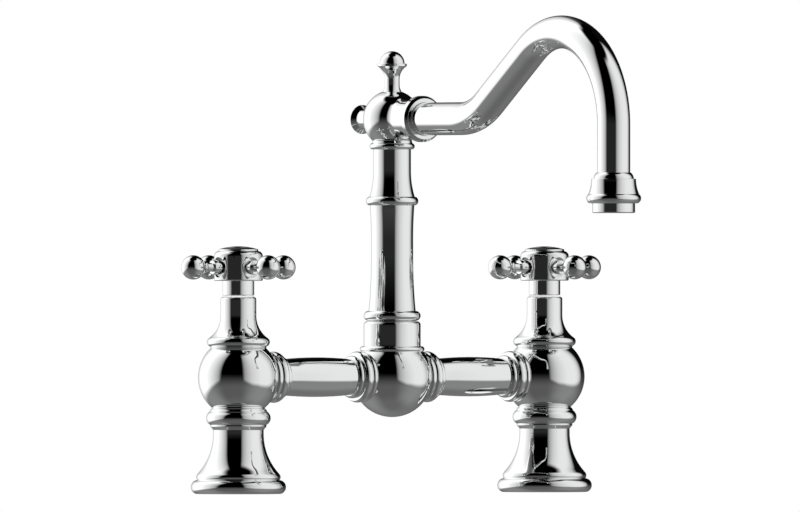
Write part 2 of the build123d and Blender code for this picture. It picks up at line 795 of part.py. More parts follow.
    # Bridge tube from the pillar's socket to the centre socket, slightly barrelled.
    barrel_end = half_span - collar_end
    with BuildPart() as bridge_arm:
        with BuildSketch(lathe(bridge_origin, (inward, 0, 0), (0, 0, 1))):
            with BuildLine():
                Polyline(
                    (bridge_tube_radius, collar_end),
                    (bridge_tube_radius, tube_start),
                    (bridge_bore_radius, tube_start),
                    (bridge_bore_radius, tube_end),
                    (bridge_tube_radius, tube_end),
                    (bridge_tube_radius, barrel_end),
                )
                ThreePointArc(
                    (bridge_tube_radius, barrel_end),
                    (bridge_tube_radius + bridge_tube_swell, half_span / 2),
                    (bridge_tube_radius, collar_end),
                )
            make_face()
        revolve(axis=Axis(bridge_origin, (inward, 0, 0)))
    save(bridge_arm, f"{side}_bridge_arm")

# ==============================================================================
# Alike pieces of the bridge and the deck fastening, grouped by kind
# ==============================================================================
tube_ends = (
    (-half_span, 1),
    (0, -1),
    (0, 1),
    (half_span, -1),
)

# Collars: each hugs its ball with a hollow back and ends in a smaller ring on the tube.
collar_bore = bridge_tube_radius + thread_fit
collar_mid_root = (collar_bore + collar_big_root) / 2
collar_bore_start = on_sphere(collar_seat_radius, collar_bore)
with BuildPart() as bridge_collars:
    for ball_x, outward in tube_ends:
        ball_centre = (ball_x, 0, bridge_height)
        with BuildSketch(lathe(ball_centre, (outward, 0, 0), (0, 0, 1))):
            with BuildLine():
                ThreePointArc(
                    (collar_bore, collar_bore_start),
                    (collar_mid_root, on_sphere(collar_seat_radius, collar_mid_root)),
                    (collar_big_root, collar_big_start),
                )
                ThreePointArc(
                    (collar_big_root, collar_big_start),
                    (collar_big_radius, (collar_big_start + collar_big_end) / 2),
                    (collar_big_root, collar_big_end),
                )
                Line((collar_big_root, collar_big_end), (collar_small_root, collar_small_start))
                ThreePointArc(
                    (collar_small_root, collar_small_start),
                    (collar_small_radius, collar_small_start + collar_small_width / 3),
                    (collar_small_tip, collar_end),
                )
                Polyline(
                    (collar_small_tip, collar_end),
                    (collar_bore, collar_end),
                    (collar_bore, collar_bore_start),
                )
            make_face()
        revolve(axis=Axis(ball_centre, (outward, 0, 0)))
save(bridge_collars, "bridge_collars")

# Flat washers at the bottom of the four tube sockets.
with BuildPart() as union_washers:
    for ball_x, outward in tube_ends:
        ball_centre = (ball_x, 0, bridge_height)
        socket_plane = Plane(origin=ball_centre, x_dir=(0, outward, 0), z_dir=(outward, 0, 0))
        with BuildSketch(socket_plane.offset(bridge_socket_face)):
            Circle(bridge_tube_radius)
            Circle(bridge_bore_radius, mode=Mode.SUBTRACT)
        extrude(amount=union_washer_thickness)
save(union_washers, "union_washers")

# Rings on the two shanks: gasket under each foot, then washers and nut below the deck.
nut_washer_top = -deck_thickness - under_washer_thickness
nut_top = nut_washer_top - clamp_washer_thickness
ring_bore = shank_radius + slip_fit
gasket_radius = flange_toe - gasket_inset
for ring_name, ring_top, ring_radius, ring_inner, ring_thickness in (
    ("deck_gaskets", gasket_thickness, gasket_radius, gasket_bore_radius, gasket_thickness),
    ("under_deck_washers", -deck_thickness, under_washer_radius, ring_bore, under_washer_thickness),
    ("clamp_washers", nut_washer_top, clamp_washer_radius, ring_bore, clamp_washer_thickness),
):
    with BuildPart() as shank_rings:
        with BuildSketch(Plane((0, 0, ring_top))):
            with Locations((-half_span, 0), (half_span, 0)):
                Circle(ring_radius)
                Circle(ring_inner, mode=Mode.SUBTRACT)
        extrude(amount=-ring_thickness)
    save(shank_rings, ring_name)

with BuildPart() as back_nuts:
    with BuildSketch(Plane((0, 0, nut_top))):
        with Locations((-half_span, 0), (half_span, 0)):
            RegularPolygon(nut_across_flats / 2, side_count=6, major_radius=False)
            Circle(shank_radius + thread_fit, mode=Mode.SUBTRACT)
    extrude(amount=-nut_height)
save(back_nuts, "back_nuts")

# ==============================================================================
# Centre body and the swivel
# ==============================================================================
column_plane = lathe((0, 0, 0), (0, 0, 1), (1, 0, 0))

# Ball with a closed bottom, bead and tall socket; both bridge tubes open into it.
bead_top = bead_foot + socket_bead_height
with BuildPart() as centre_body:
    with BuildSketch(column_plane):
        with BuildLine():
            ThreePointArc(
                (0, bridge_height - ball_radius),
                (ball_radius, bridge_height),
                (socket_bead_foot, bead_foot),
            )
            ThreePointArc(
                (socket_bead_foot, bead_foot),
                (socket_bead_radius, bead_foot + socket_bead_crest),
                (socket_radius, bead_top),
            )
            Line((socket_radius, bead_top), (socket_radius, socket_top - socket_edge_radius))
            TangentArc(
                (socket_radius, socket_top - socket_edge_radius),
                (socket_radius - socket_edge_radius, socket_top),
                tangent=(0, 1),
            )
            Polyline(
                (socket_radius - socket_edge_radius, socket_top),
                (swivel_bore_radius, socket_top),
                (swivel_bore_radius, swivel_floor),
                (mixing_radius, swivel_floor),
                (mixing_radius, bridge_height - mixing_depth),
                (0, bridge_height - mixing_depth),
                (0, bridge_height - ball_radius),
            )
        make_face()
    revolve(axis=Axis.Z)
    for outward in (-1, 1):
        ball_centre = (0, 0, bridge_height)
        port_plane = Plane(origin=ball_centre, x_dir=(0, outward, 0), z_dir=(outward, 0, 0))
        with BuildSketch(port_plane.offset(bridge_socket_face)):
            Circle(bridge_tube_radius + thread_fit)
        extrude(amount=ball_radius, mode=Mode.SUBTRACT)
        with BuildSketch(port_plane.offset(on_sphere(mixing_radius, bridge_bore_radius) - slip_fit)):
            Circle(bridge_bore_radius)
        extrude(amount=ball_radius, mode=Mode.SUBTRACT)
    with BuildSketch(Plane(origin=(0, 0, lock_height), z_dir=(0, 1, 0))):
        Circle(lock_screw_radius + thread_fit)
    extrude(amount=socket_radius + lock_screw_radius, mode=Mode.SUBTRACT)
save(centre_body, "centre_body")

# Nylon bush at the bottom of the swivel bore.
with BuildPart() as swivel_bush:
    with BuildSketch(Plane((0, 0, swivel_floor))):
        Circle(swivel_bore_radius - thread_fit)
        Circle(piston_neck_radius + running_fit, mode=Mode.SUBTRACT)
    extrude(amount=bush_height)
save(swivel_bush, "swivel_bush")

# Grub screw at the back of the socket; its tip runs in the piston's groove.
with BuildPart() as spout_lock_screw:
    with BuildSketch(lathe((0, 0, lock_height), (0, 1, 0), (0, 0, 1))):
        with BuildLine():
            Polyline(
                (0, lock_tip_reach),
                (lock_tip_radius, lock_tip_reach),
                (lock_tip_radius, swivel_bore_radius + running_fit),
                (lock_screw_radius, swivel_bore_radius + 2 * running_fit),
                (lock_screw_radius, lock_screw_end),
                (0, lock_screw_end),
                (0, lock_tip_reach),
            )
        make_face()
    revolve(axis=Axis((0, 0, lock_height), (0, 1, 0)))
    with BuildSketch(Plane(origin=(0, lock_screw_end, lock_height), z_dir=(0, 1, 0))):
        RegularPolygon(screw_key_flats / 2, side_count=6, major_radius=False)
    extrude(amount=-screw_key_depth, mode=Mode.SUBTRACT)
save(spout_lock_screw, "spout_lock_screw")

# ==============================================================================
# Spout column: everything from here on turns about the vertical axis
# ==============================================================================
swivel_groove_depth = swivel_groove_width + seal_play
swivel_groove_middle = swivel_bore_radius - swivel_groove_depth / 2
swivel_seal_heights = (lower_seal_height, upper_seal_height)

# Riser tube: piston that turns in the socket, then a thinner tube up to the head.
with BuildPart() as riser_tube:
    with BuildSketch(column_plane):
        with BuildLine():
            Polyline(
                (riser_bore_radius, piston_foot),
                (piston_neck_radius, piston_foot),
                (piston_neck_radius, piston_shoulder),
                (piston_radius, piston_shoulder),
                (piston_radius, column_bottom),
                (riser_radius, column_bottom),
                (riser_radius, head_bottom + riser_engagement),
                (riser_bore_radius, head_bottom + riser_engagement),
                (riser_bore_radius, piston_foot),
            )
        make_face()
    revolve(axis=Axis.Z)
    with BuildSketch(column_plane):
        for ring_z in swivel_seal_heights:
            with Locations((swivel_groove_middle, ring_z)):
                Rectangle(swivel_groove_depth, swivel_groove_width)
        with Locations((swivel_bore_radius - lock_groove_depth / 2, lock_height)):
            Rectangle(lock_groove_depth + 2 * running_fit, lock_groove_width)
    revolve(axis=Axis.Z, mode=Mode.SUBTRACT)
save(riser_tube, "riser_tube")

with BuildPart() as swivel_seals:
    with BuildSketch(column_plane):
        for ring_z in swivel_seal_heights:
            with Locations((swivel_seal_centre, ring_z)):
                Circle(swivel_seal_section)
    revolve(axis=Axis.Z)
save(swivel_seals, "swivel_seals")

# Lower column: rounded foot ring, then a waisted sleeve.
foot_ring_top = column_bottom + foot_ring_height
with BuildPart() as lower_column:
    with BuildSketch(column_plane):
        with BuildLine():
            ThreePointArc(
                (foot_ring_root, column_bottom),
                (foot_ring_radius, column_bottom + foot_ring_height / 2),
                (foot_ring_root, foot_ring_top),
            )
            Line((foot_ring_root, foot_ring_top), (lower_column_foot, foot_ring_top))
            TangentArc(
                (lower_column_waist, column_bottom + lower_waist_start),
                (lower_column_foot, foot_ring_top),
                tangent=(0, -1),
            )
            Line(
                (lower_column_waist, column_bottom + lower_waist_start),
                (lower_column_waist, column_bottom + lower_waist_end),
            )
            TangentArc(
                (lower_column_waist, column_bottom + lower_waist_end),
                (lower_column_head, mid_ring_bottom),
                tangent=(0, 1),
            )
            Polyline(
                (lower_column_head, mid_ring_bottom),
                (column_bore, mid_ring_bottom),
                (column_bore, column_bottom),
                (foot_ring_root, column_bottom),
            )
        make_face()
    revolve(axis=Axis.Z)
save(lower_column, "lower_column")

with BuildPart() as mid_ring:
    with BuildSketch(column_plane):
        with BuildLine():
            ThreePointArc(
                (mid_ring_root, mid_ring_bottom),
                (mid_ring_radius, mid_ring_bottom + mid_ring_height / 2),
                (mid_ring_root, upper_column_bottom),
            )
            Polyline(
                (mid_ring_root, upper_column_bottom),
                (column_bore, upper_column_bottom),
                (column_bore, mid_ring_bottom),
                (mid_ring_root, mid_ring_bottom),
            )
        make_face()
    revolve(axis=Axis.Z)
save(mid_ring, "mid_ring")

# Upper column: waisted sleeve with a ring and a short neck under the head.
ring_top = head_bottom - head_neck_height
ring_bottom = ring_top - top_ring_height
with BuildPart() as upper_column:
    with BuildSketch(column_plane):
        with BuildLine():
            TangentArc(
                (upper_column_waist, upper_column_bottom + upper_waist_start),
                (upper_column_foot, upper_column_bottom),
                tangent=(0, -1),
            )
            Polyline(
                (upper_column_waist, upper_column_bottom + upper_waist_start),
                (upper_column_waist, ring_bottom),
                (top_ring_root, ring_bottom),
            )
            ThreePointArc(
                (top_ring_root, ring_bottom),
                (top_ring_radius, (ring_bottom + ring_top) / 2),
                (top_ring_root, ring_top),
            )
            Polyline(
                (top_ring_root, ring_top),
                (head_foot_radius, head_bottom),
                (column_bore, head_bottom),
                (column_bore, upper_column_bottom),
                (upper_column_foot, upper_column_bottom),
            )
        make_face()
    revolve(axis=Axis.Z)
save(upper_column, "upper_column")

# Spout head: ball with a boss for the spout, drilled for riser, finial and rear plug.
spout_plane = Plane(origin=(0, 0, head_height), x_dir=(1, 0, 0), z_dir=(0, -1, 0))
rear_plane = Plane(origin=(0, 0, head_height), x_dir=(1, 0, 0), z_dir=(0, 1, 0))
with BuildPart() as spout_head:
    with BuildSketch(column_plane):
        with BuildLine():
            ThreePointArc(
                (head_foot_radius, head_bottom),
                (head_radius, head_height),
                (0, head_height + head_radius),
            )
            Polyline((0, head_height + head_radius), (0, head_bottom), (head_foot_radius, head_bottom))
        make_face()
    revolve(axis=Axis.Z)
    with BuildSketch(spout_plane):
        Circle(head_boss_radius)
    extrude(amount=boss_reach)
    with BuildSketch(Plane((0, 0, head_bottom))):
        Circle(riser_radius + thread_fit)
    extrude(amount=riser_engagement, mode=Mode.SUBTRACT)
    with BuildSketch(Plane((0, 0, head_bottom))):
        Circle(riser_bore_radius)
    extrude(amount=head_height - head_bottom, mode=Mode.SUBTRACT)
    with BuildSketch(rear_plane.offset(-spout_socket_start)):
        Circle(head_bore_radius)
    extrude(amount=spout_socket_start + head_radius, mode=Mode.SUBTRACT)
    with BuildSketch(spout_plane.offset(spout_socket_start)):
        Circle(spout_tube_radius + thread_fit)
    extrude(amount=boss_reach, mode=Mode.SUBTRACT)
    with BuildSketch(rear_plane.offset(plug_seat)):
        Circle(plug_radius + thread_fit)
    extrude(amount=head_radius, mode=Mode.SUBTRACT)
    with BuildSketch(Plane((0, 0, finial_seat))):
        Circle(finial_foot_radius + slip_fit)
    extrude(amount=head_radius, mode=Mode.SUBTRACT)
    with BuildSketch(Plane((0, 0, finial_seat))):
        Circle(finial_stem_radius + thread_fit)
    extrude(amount=-finial_stem_length - slip_fit, mode=Mode.SUBTRACT)
save(spout_head, "spout_head")

# Finial: flared foot, slim neck, cup with a rim and a ball set in it.
finial_plane = lathe((0, 0, finial_seat), (0, 0, 1), (1, 0, 0))
neck_end = finial_cove_height + finial_neck_length
rim_bottom = neck_end + finial_cup_height
rim_top = rim_bottom + finial_rim_height
crown = finial_ball_radius * sin(radians(45))
with BuildPart() as finial:
    with BuildSketch(finial_plane):
        with BuildLine():
            Polyline(
                (0, -finial_stem_length),
                (finial_stem_radius, -finial_stem_length),
                (finial_stem_radius, 0),
                (finial_foot_radius, 0),
            )
            TangentArc(
                (finial_neck_radius, finial_cove_height),
                (finial_foot_radius, 0),
                tangent=(0, -1),
            )
            Line((finial_neck_radius, finial_cove_height), (finial_neck_radius, neck_end))
            TangentArc(
                (finial_neck_radius, neck_end),
                (finial_rim_radius, rim_bottom),
                tangent=(0, 1),
            )
            Polyline(
                (finial_rim_radius, rim_bottom),
                (finial_rim_radius, rim_top),
                (finial_ball_radius, rim_top),
            )
            ThreePointArc(
                (finial_ball_radius, rim_top),
                (crown, rim_top + crown),
                (0, rim_top + finial_ball_radius),
            )
            Line((0, rim_top + finial_ball_radius), (0, -finial_stem_length))
        make_face()
    revolve(axis=Axis.Z)
save(finial, "finial")

# Rear plug: round-ended knob that closes the back of the head.
with BuildPart() as rear_plug:
    with BuildSketch(lathe((0, 0, head_height), (0, 1, 0), (0, 0, 1))):
        with BuildLine():
            Polyline(
                (0, plug_seat - plug_stem_length),
                (head_bore_radius - thread_fit, plug_seat - plug_stem_length),
                (head_bore_radius - thread_fit, plug_seat),
                (plug_radius, plug_seat),
                (plug_radius, plug_end - plug_edge),
            )
            TangentArc(
                (plug_radius, plug_end - plug_edge),
                (plug_radius - plug_edge, plug_end),
                tangent=(0, 1),
            )
            Polyline(
                (plug_radius - plug_edge, plug_end),
                (0, plug_end),
                (0, plug_seat - plug_stem_length),
            )
        make_face()
    revolve(axis=Axis((0, 0, head_height), (0, 1, 0)))
save(rear_plug, "rear_plug")

# ==============================================================================
# Spout, its collar and the outlet
# ==============================================================================
cove_end = spout_collar_face + spout_cove_length
with BuildPart() as spout_collar:
    with BuildSketch(lathe((0, 0, head_height), (0, -1, 0), (0, 0, 1))):
        with BuildLine():
            Polyline(
                (spout_tube_radius + thread_fit, boss_reach),
                (spout_collar_radius - spout_collar_bevel, boss_reach),
                (spout_collar_radius, boss_reach + spout_collar_bevel),
                (spout_collar_radius, spout_collar_face),
                (spout_cove_radius, spout_collar_face),
            )
            TangentArc(
                (spout_cove_radius, spout_collar_face),
                (spout_tube_radius + slip_fit, cove_end),
                tangent=(-1, 2),
            )
            Polyline(
                (spout_tube_radius + slip_fit, cove_end),
                (spout_tube_radius + thread_fit, cove_end),
                (spout_tube_radius + thread_fit, boss_reach),
            )
        make_face()
    revolve(axis=Axis((0, 0, head_height), (0, -1, 0)))
save(spout_collar, "spout_collar")

# Spout tube: level run, upward slope, crown and drop, as straights joined by tangent arcs.
slope_rise = (spout_reach - spout_elbow_reach) * tan(radians(spout_slope))
side_plane = lathe((0, 0, 0), (0, 0, 1), (0, -1, 0))
with BuildPart() as spout_tube:
    with BuildLine(side_plane):
        FilletPolyline(
            (spout_socket_start, head_height),
            (spout_elbow_reach, head_height),
            (spout_reach, head_height + slope_rise),
            (spout_reach, spout_end_height),
            radius=[spout_elbow_bend, spout_crown_bend],
        )
    with BuildSketch(spout_plane.offset(spout_socket_start)):
        Circle(spout_tube_radius)
        Circle(spout_bore, mode=Mode.SUBTRACT)
    sweep()
save(spout_tube, "spout_tube")

outlet_plane = lathe((0, -spout_reach, 0), (0, 0, 1), (1, 0, 0))
outlet_axis = Axis((0, -spout_reach, 0), (0, 0, 1))
outlet_step_height = outlet_rim_height + outlet_step_rise
outlet_flare_height = outlet_rim_height + outlet_flare_rise
outlet_top = outlet_rim_height + outlet_ogee_rise

# Outlet collar: ogee, step, flare and bead, threaded inside for the aerator.
with BuildPart() as outlet_collar:
    with BuildSketch(outlet_plane):
        with BuildLine():
            TangentArc(
                (outlet_ogee_radius, outlet_step_height),
                (spout_tube_radius + slip_fit, outlet_top),
                tangent=(0, 1),
            )
            Line((outlet_ogee_radius, outlet_step_height), (outlet_step_radius, outlet_step_height))
            TangentArc(
                (outlet_step_radius, outlet_step_height),
                (outlet_flare_radius, outlet_flare_height),
                tangent=(0, -1),
            )
            ThreePointArc(
                (outlet_flare_radius, outlet_flare_height),
                (outlet_bead_radius, outlet_rim_height + outlet_bead_rise),
                (outlet_rim_radius, outlet_rim_height),
            )
            Polyline(
                (outlet_rim_radius, outlet_rim_height),
                (aerator_thread_radius + thread_fit, outlet_rim_height),
                (aerator_thread_radius + thread_fit, aerator_washer_top),
                (spout_bore, aerator_washer_top),
                (spout_bore, spout_end_height),
                (spout_tube_radius + thread_fit, spout_end_height),
                (spout_tube_radius + thread_fit, outlet_top),
                (spout_tube_radius + slip_fit, outlet_top),
            )
        make_face()
    revolve(axis=outlet_axis)
save(outlet_collar, "outlet_collar")

# Aerator: threaded housing, flow insert with its holes, and the washer above them.
with BuildPart() as aerator_housing:
    with BuildSketch(outlet_plane):
        with BuildLine():
            Polyline(
                (aerator_lip_bore, aerator_bottom),
                (aerator_radius - aerator_edge, aerator_bottom),
                (aerator_radius, aerator_bottom + aerator_edge),
                (aerator_radius, outlet_rim_height),
                (aerator_thread_radius, outlet_rim_height),
                (aerator_thread_radius, aerator_thread_top),
                (aerator_bore_radius, aerator_thread_top),
                (aerator_bore_radius, aerator_bottom + aerator_lip),
                (aerator_lip_bore, aerator_bottom + aerator_lip),
                (aerator_lip_bore, aerator_bottom),
            )
        make_face()
    revolve(axis=outlet_axis)
save(aerator_housing, "aerator_housing")

insert_bottom = aerator_bottom + aerator_lip
with BuildPart() as aerator_insert:
    with BuildSketch(Plane((0, -spout_reach, insert_bottom))):
        Circle(aerator_bore_radius - thread_fit)
    extrude(amount=insert_height)
    with BuildSketch(Plane((0, -spout_reach, insert_bottom + insert_floor))):
        Circle(aerator_bore_radius - insert_wall)
    extrude(amount=insert_height, mode=Mode.SUBTRACT)
    with BuildSketch(Plane((0, -spout_reach, insert_bottom))):
        with HexLocations(aerator_hole_pitch, aerator_hole_rows, aerator_hole_rows) as grid:
            holes = [place for place in grid.local_locations]
        hole_limit = aerator_lip_bore - 2 * aerator_hole_radius
        with Locations(*[place for place in holes if place.position.length < hole_limit]):
            Circle(aerator_hole_radius)
    extrude(amount=insert_floor, mode=Mode.SUBTRACT)
save(aerator_insert, "aerator_insert")

with BuildPart() as aerator_washer:
    with BuildSketch(Plane((0, -spout_reach, aerator_thread_top))):
        Circle(aerator_thread_radius)
        Circle(spout_bore, mode=Mode.SUBTRACT)
    extrude(amount=aerator_washer_thickness)
save(aerator_washer, "aerator_washer")
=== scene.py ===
import json
from functools import lru_cache
from math import atan2, ceil, cos, hypot, pi, radians, sin, sqrt, tan

import bpy
import numpy as np
from bpy.props import FloatProperty, FloatVectorProperty, PointerProperty
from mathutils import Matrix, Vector


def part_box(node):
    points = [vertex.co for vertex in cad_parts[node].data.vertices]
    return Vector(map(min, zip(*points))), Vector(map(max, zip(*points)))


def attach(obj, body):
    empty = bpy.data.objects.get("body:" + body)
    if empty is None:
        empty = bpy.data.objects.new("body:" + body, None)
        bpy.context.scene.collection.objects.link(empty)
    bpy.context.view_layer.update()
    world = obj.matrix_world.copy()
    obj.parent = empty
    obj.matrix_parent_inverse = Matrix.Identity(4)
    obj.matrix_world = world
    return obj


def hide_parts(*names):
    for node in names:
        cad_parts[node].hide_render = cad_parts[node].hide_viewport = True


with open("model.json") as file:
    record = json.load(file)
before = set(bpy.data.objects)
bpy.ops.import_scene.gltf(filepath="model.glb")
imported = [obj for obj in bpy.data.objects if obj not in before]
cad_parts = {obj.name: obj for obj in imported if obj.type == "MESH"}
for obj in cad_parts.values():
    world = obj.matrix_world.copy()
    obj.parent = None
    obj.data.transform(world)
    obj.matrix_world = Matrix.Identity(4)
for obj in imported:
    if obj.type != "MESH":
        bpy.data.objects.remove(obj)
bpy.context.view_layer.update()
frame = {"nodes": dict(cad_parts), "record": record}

bl_info = {
    "name": "Bridge kitchen faucet",
    "version": (1, 0, 0),
    "blender": (4, 5, 0),
    "location": "3D View > Sidebar > Faucet",
    "description": "Turned chrome pieces, finishes and a plain studio for a bridge kitchen faucet",
    "category": "Add Mesh",
}

SIDES = (("left", "hot_handle", 1), ("right", "cold_handle", -1))    # side, body, way inward
FIXED, SWIVEL = "faucet_body", "spout"
CHROME, ACETAL, BRASS = "polished_chrome", "white_acetal", "bare_brass"
STAINLESS, RUBBER = "stainless", "rubber_seals"
UP, RIGHT, BACK = (0.0, 0.0, 1.0), (1.0, 0.0, 0.0), (0.0, 1.0, 0.0)

# How finely the surfaces are made; lengths are in metres.
AROUND = 144            # steps round a turned piece
FINE_AROUND = 72        # steps round a small one
SHANK_AROUND = 96       # steps round a threaded shank
ARC_STEP = radians(4.0)         # longest step along an arc
ARC_LEAST = 8           # fewest steps along an arc
BEND_STEP = radians(2.0)        # longest step along the spout's bends
EDGE = 0.00012          # easing of a sharp edge
WASHER_EDGE = 0.0003    # easing of a washer's edges
EASE_STEPS = 6          # steps across an eased edge
CORNER_TURN = radians(16.0)     # an outline that turns by more than this has an edge to ease
HOLD = 0.00008          # from a straight wall's end to the ring that keeps the wall straight
HELD_RUN = 5 * HOLD     # shortest wall that has such rings
SHARP_ANGLE = radians(35.0)     # faces that meet at more than this are shaded apart
WELD = 8                # decimals, in metres, to which meeting points are joined
SAME = 1e-7             # metres within which two sizes count as one
TOUCH = 1e-9            # metres within which two points count as one
CORNER_SHARE = 0.45     # share of the runs beside a corner that its easing may take up
CORNER_CLEAR = 1.001    # reaches from a corner within which the old points go
SHEET_STEPS = 8         # steps from the border of a pocket's sector to the pocket's lip
CONE_STEPS = 8          # steps along the cone that turns down a nut's corners
NUT_ODDS = 1e-5         # metres by which a nut has to be longer one way to count as turned
PITCH_ROWS = 10         # rows of points to one pitch of the thread
NO_TRIS = np.zeros((0, 3), int)     # for a surface that has only four-cornered faces

# What the chrome mirrors: (share of half a turn away from the gap, brightness) of each ramp.
GAP_AZIMUTH = -20.0     # middle of the black gap, in degrees to the right of the camera
RIGHT_PANEL = ((0.178, 0.0), (0.225, 0.33), (0.28, 0.50), (0.335, 0.63), (0.40, 0.72),
               (0.50, 0.82), (0.66, 0.83), (0.72, 0.75), (0.785, 0.52), (0.825, 0.20), (0.85, 0.003))
LEFT_PANEL = ((0.165, 0.0), (0.222, 0.40), (0.28, 0.60), (0.335, 0.76), (0.39, 0.88),
              (0.445, 1.02), (0.50, 1.15), (0.66, 1.15), (0.72, 0.90), (0.77, 0.72),
              (0.805, 0.62), (0.835, 0.25), (0.87, 0.06), (0.92, 0.003))
GROUND = ((0.0, 0.10), (0.15, 0.10), (0.22, 0.118), (0.305, 0.168), (0.39, 0.21), (0.5, 0.235),
          (0.66, 0.24), (0.85, 0.18), (1.0, 0.16))
NADIR = 0.13            # brightness of the ground straight below
NADIR_BAND = (-82.0, -48.0)     # elevations between which that passes into the ground around
HORIZON_BAND = (-30.0, 12.0)    # elevations over which the ground fades out upward
GAP_BLEND = 8.0         # degrees beside the gap's middle where left passes into right
PANEL_DEPTH = 22.5      # how far the panels reach below the horizon, where they are lowest
PANEL_MIDDLE = 95.0     # where that is, in degrees from the gap
PANEL_CURVE = 1.15      # degrees of cosine for each degree that their lower edge runs on
PANEL_SOFT = (6.0, 5.0)         # half widths of the soft lower and upper edges, in degrees
RIGHT_LIFT = (60.0, 85.0, 0.0, 3.0)     # from, to, and the rise of the right panel's lower edge
RIGHT_TOP = 65.0        # elevation of the right panel's upper edge
LEFT_TOP = (130.0, 178.0, 66.0, 45.0)   # from, to, and the elevations of the left one's upper edge


# --- sizes that a user would change -------------------------------------------------------
def lengths(**rows):
    """Length properties, each written as millimetres and a description, and kept in metres."""
    return {
        key: FloatProperty(
            name=key.replace("_", " ").capitalize(),
            description=description,
            default=millimetres / 1000,
            min=0.0,
            precision=5,
            unit="LENGTH",
        )
        for key, (millimetres, description) in rows.items()
    }


def colour(name, value, description):
    """A colour property."""
    return FloatVectorProperty(
        name=name, description=description, default=value, min=0.0, max=1.0, subtype="COLOR"
    )


def angle(name, degrees, description):
    """An angle property, written here in degrees."""
    return FloatProperty(
        name=name, description=description, default=radians(degrees), subtype="ANGLE"
    )


def brightness(name, value, description):
    """A brightness property."""
    return FloatProperty(name=name, description=description, default=value, min=0.0)


class FitSizes(bpy.types.PropertyGroup):
    """Clearances between pieces."""

    __annotations__ = lengths(
        screwed=(0.05, "Radial play of a screwed joint"),
        slip=(0.3, "Radial play of pieces slid over one another"),
        shank=(10.45, "Radius of the threaded supply shanks"),
        riser_bore=(8.3, "Bore of the column round the riser tube"),
    )


class FootSizes(bpy.types.PropertyGroup):
    """The bell-shaped foot of a pillar."""

    __annotations__ = lengths(
        flange_radius=(26.2, "Widest radius of the rounded flange"),
        flange_toe=(23.3, "Radius where the flange meets the worktop"),
        flange_height=(7.5, "Height of the rounded flange"),
        bead_radius=(23.2, "Widest radius of the bead on the flange"),
        bead_root=(22.6, "Radius where the bead starts and ends"),
        bead_height=(3.4, "Height of the bead on the flange"),
        waist_radius=(13.9, "Radius of the neck above the bell"),
        waist_length=(2.2, "Length of the straight neck"),
        cavity_radius=(16.8, "Radius of the hollow below"),
        cavity_height=(10.0, "Height of the straight part of the hollow"),
        web=(8.2, "Solid neck above the hollow"),
        gasket_radius=(21.5, "Radius of the recess for the gasket"),
        gasket_depth=(2.0, "Depth of the recess for the gasket"),
    )


class BallSizes(bpy.types.PropertyGroup):
    """The ring under each valve ball, and the ball."""

    __annotations__ = lengths(
        taper_radius=(15.2, "Radius at the top of the taper under the beads"),
        taper_height=(1.6, "Height of the taper under the beads"),
        small_radius=(15.45, "Widest radius of the small bead under the torus"),
        root_radius=(15.25, "Radius of the groove under the torus"),
        torus_radius=(17.75, "Widest radius of the torus"),
        torus_root=(15.85, "Radius of the groove over the torus"),
        upper_radius=(15.4, "Radius halfway up the bead under the ball"),
        small_height=(2.7, "Height of the taper and the lower small bead"),
        torus_height=(7.4, "Height of the torus"),
        ball_radius=(22.2, "Radius of the valve balls and the centre ball"),
        neck_radius=(14.4, "Radius where the ball sits on its ring"),
        top_radius=(15.2, "Radius of the flat under the bonnet"),
        mouth_radius=(10.35, "Bore that takes the cartridge"),
        chamber_radius=(11.0, "Water space round the cartridge"),
        chamber_depth=(6.98, "From the flat down to the chamber"),
        seat_depth=(21.58, "From the flat down to the seat"),
        water_way=(6.0, "Radius of the hole in the seat"),
        shank_depth=(8.5, "Depth of the socket for the shank"),
    )


class BonnetSizes(bpy.types.PropertyGroup):
    """The flared bonnet and the pale glide ring in its mouth."""

    __annotations__ = lengths(
        lip_radius=(15.5, "Widest radius of the lowest lip"),
        lip_root=(15.35, "Radius between lip and bead"),
        lip_height=(0.7, "Height of the lip"),
        bead_radius=(17.3, "Widest radius of the bead"),
        bead_root=(15.8, "Radius where the flare leaves the bead"),
        bead_height=(5.0, "Height of the bead"),
        neck_radius=(9.85, "Radius of the straight neck"),
        neck_length=(10.2, "Length of the straight neck"),
        edge=(1.3, "Rounding of the upper edge"),
        bore=(7.55, "Bore screwed on the cartridge"),
        skirt_bore=(13.202, "Bore over the cartridge hexagon"),
        skirt_height=(3.3, "Height of the space over the hexagon"),
        glide_radius=(8.7, "Radius of the pale ring"),
        glide_height=(0.85, "Seen height of the pale ring"),
        glide_bore=(4.5, "Bore of the pale ring"),
    )


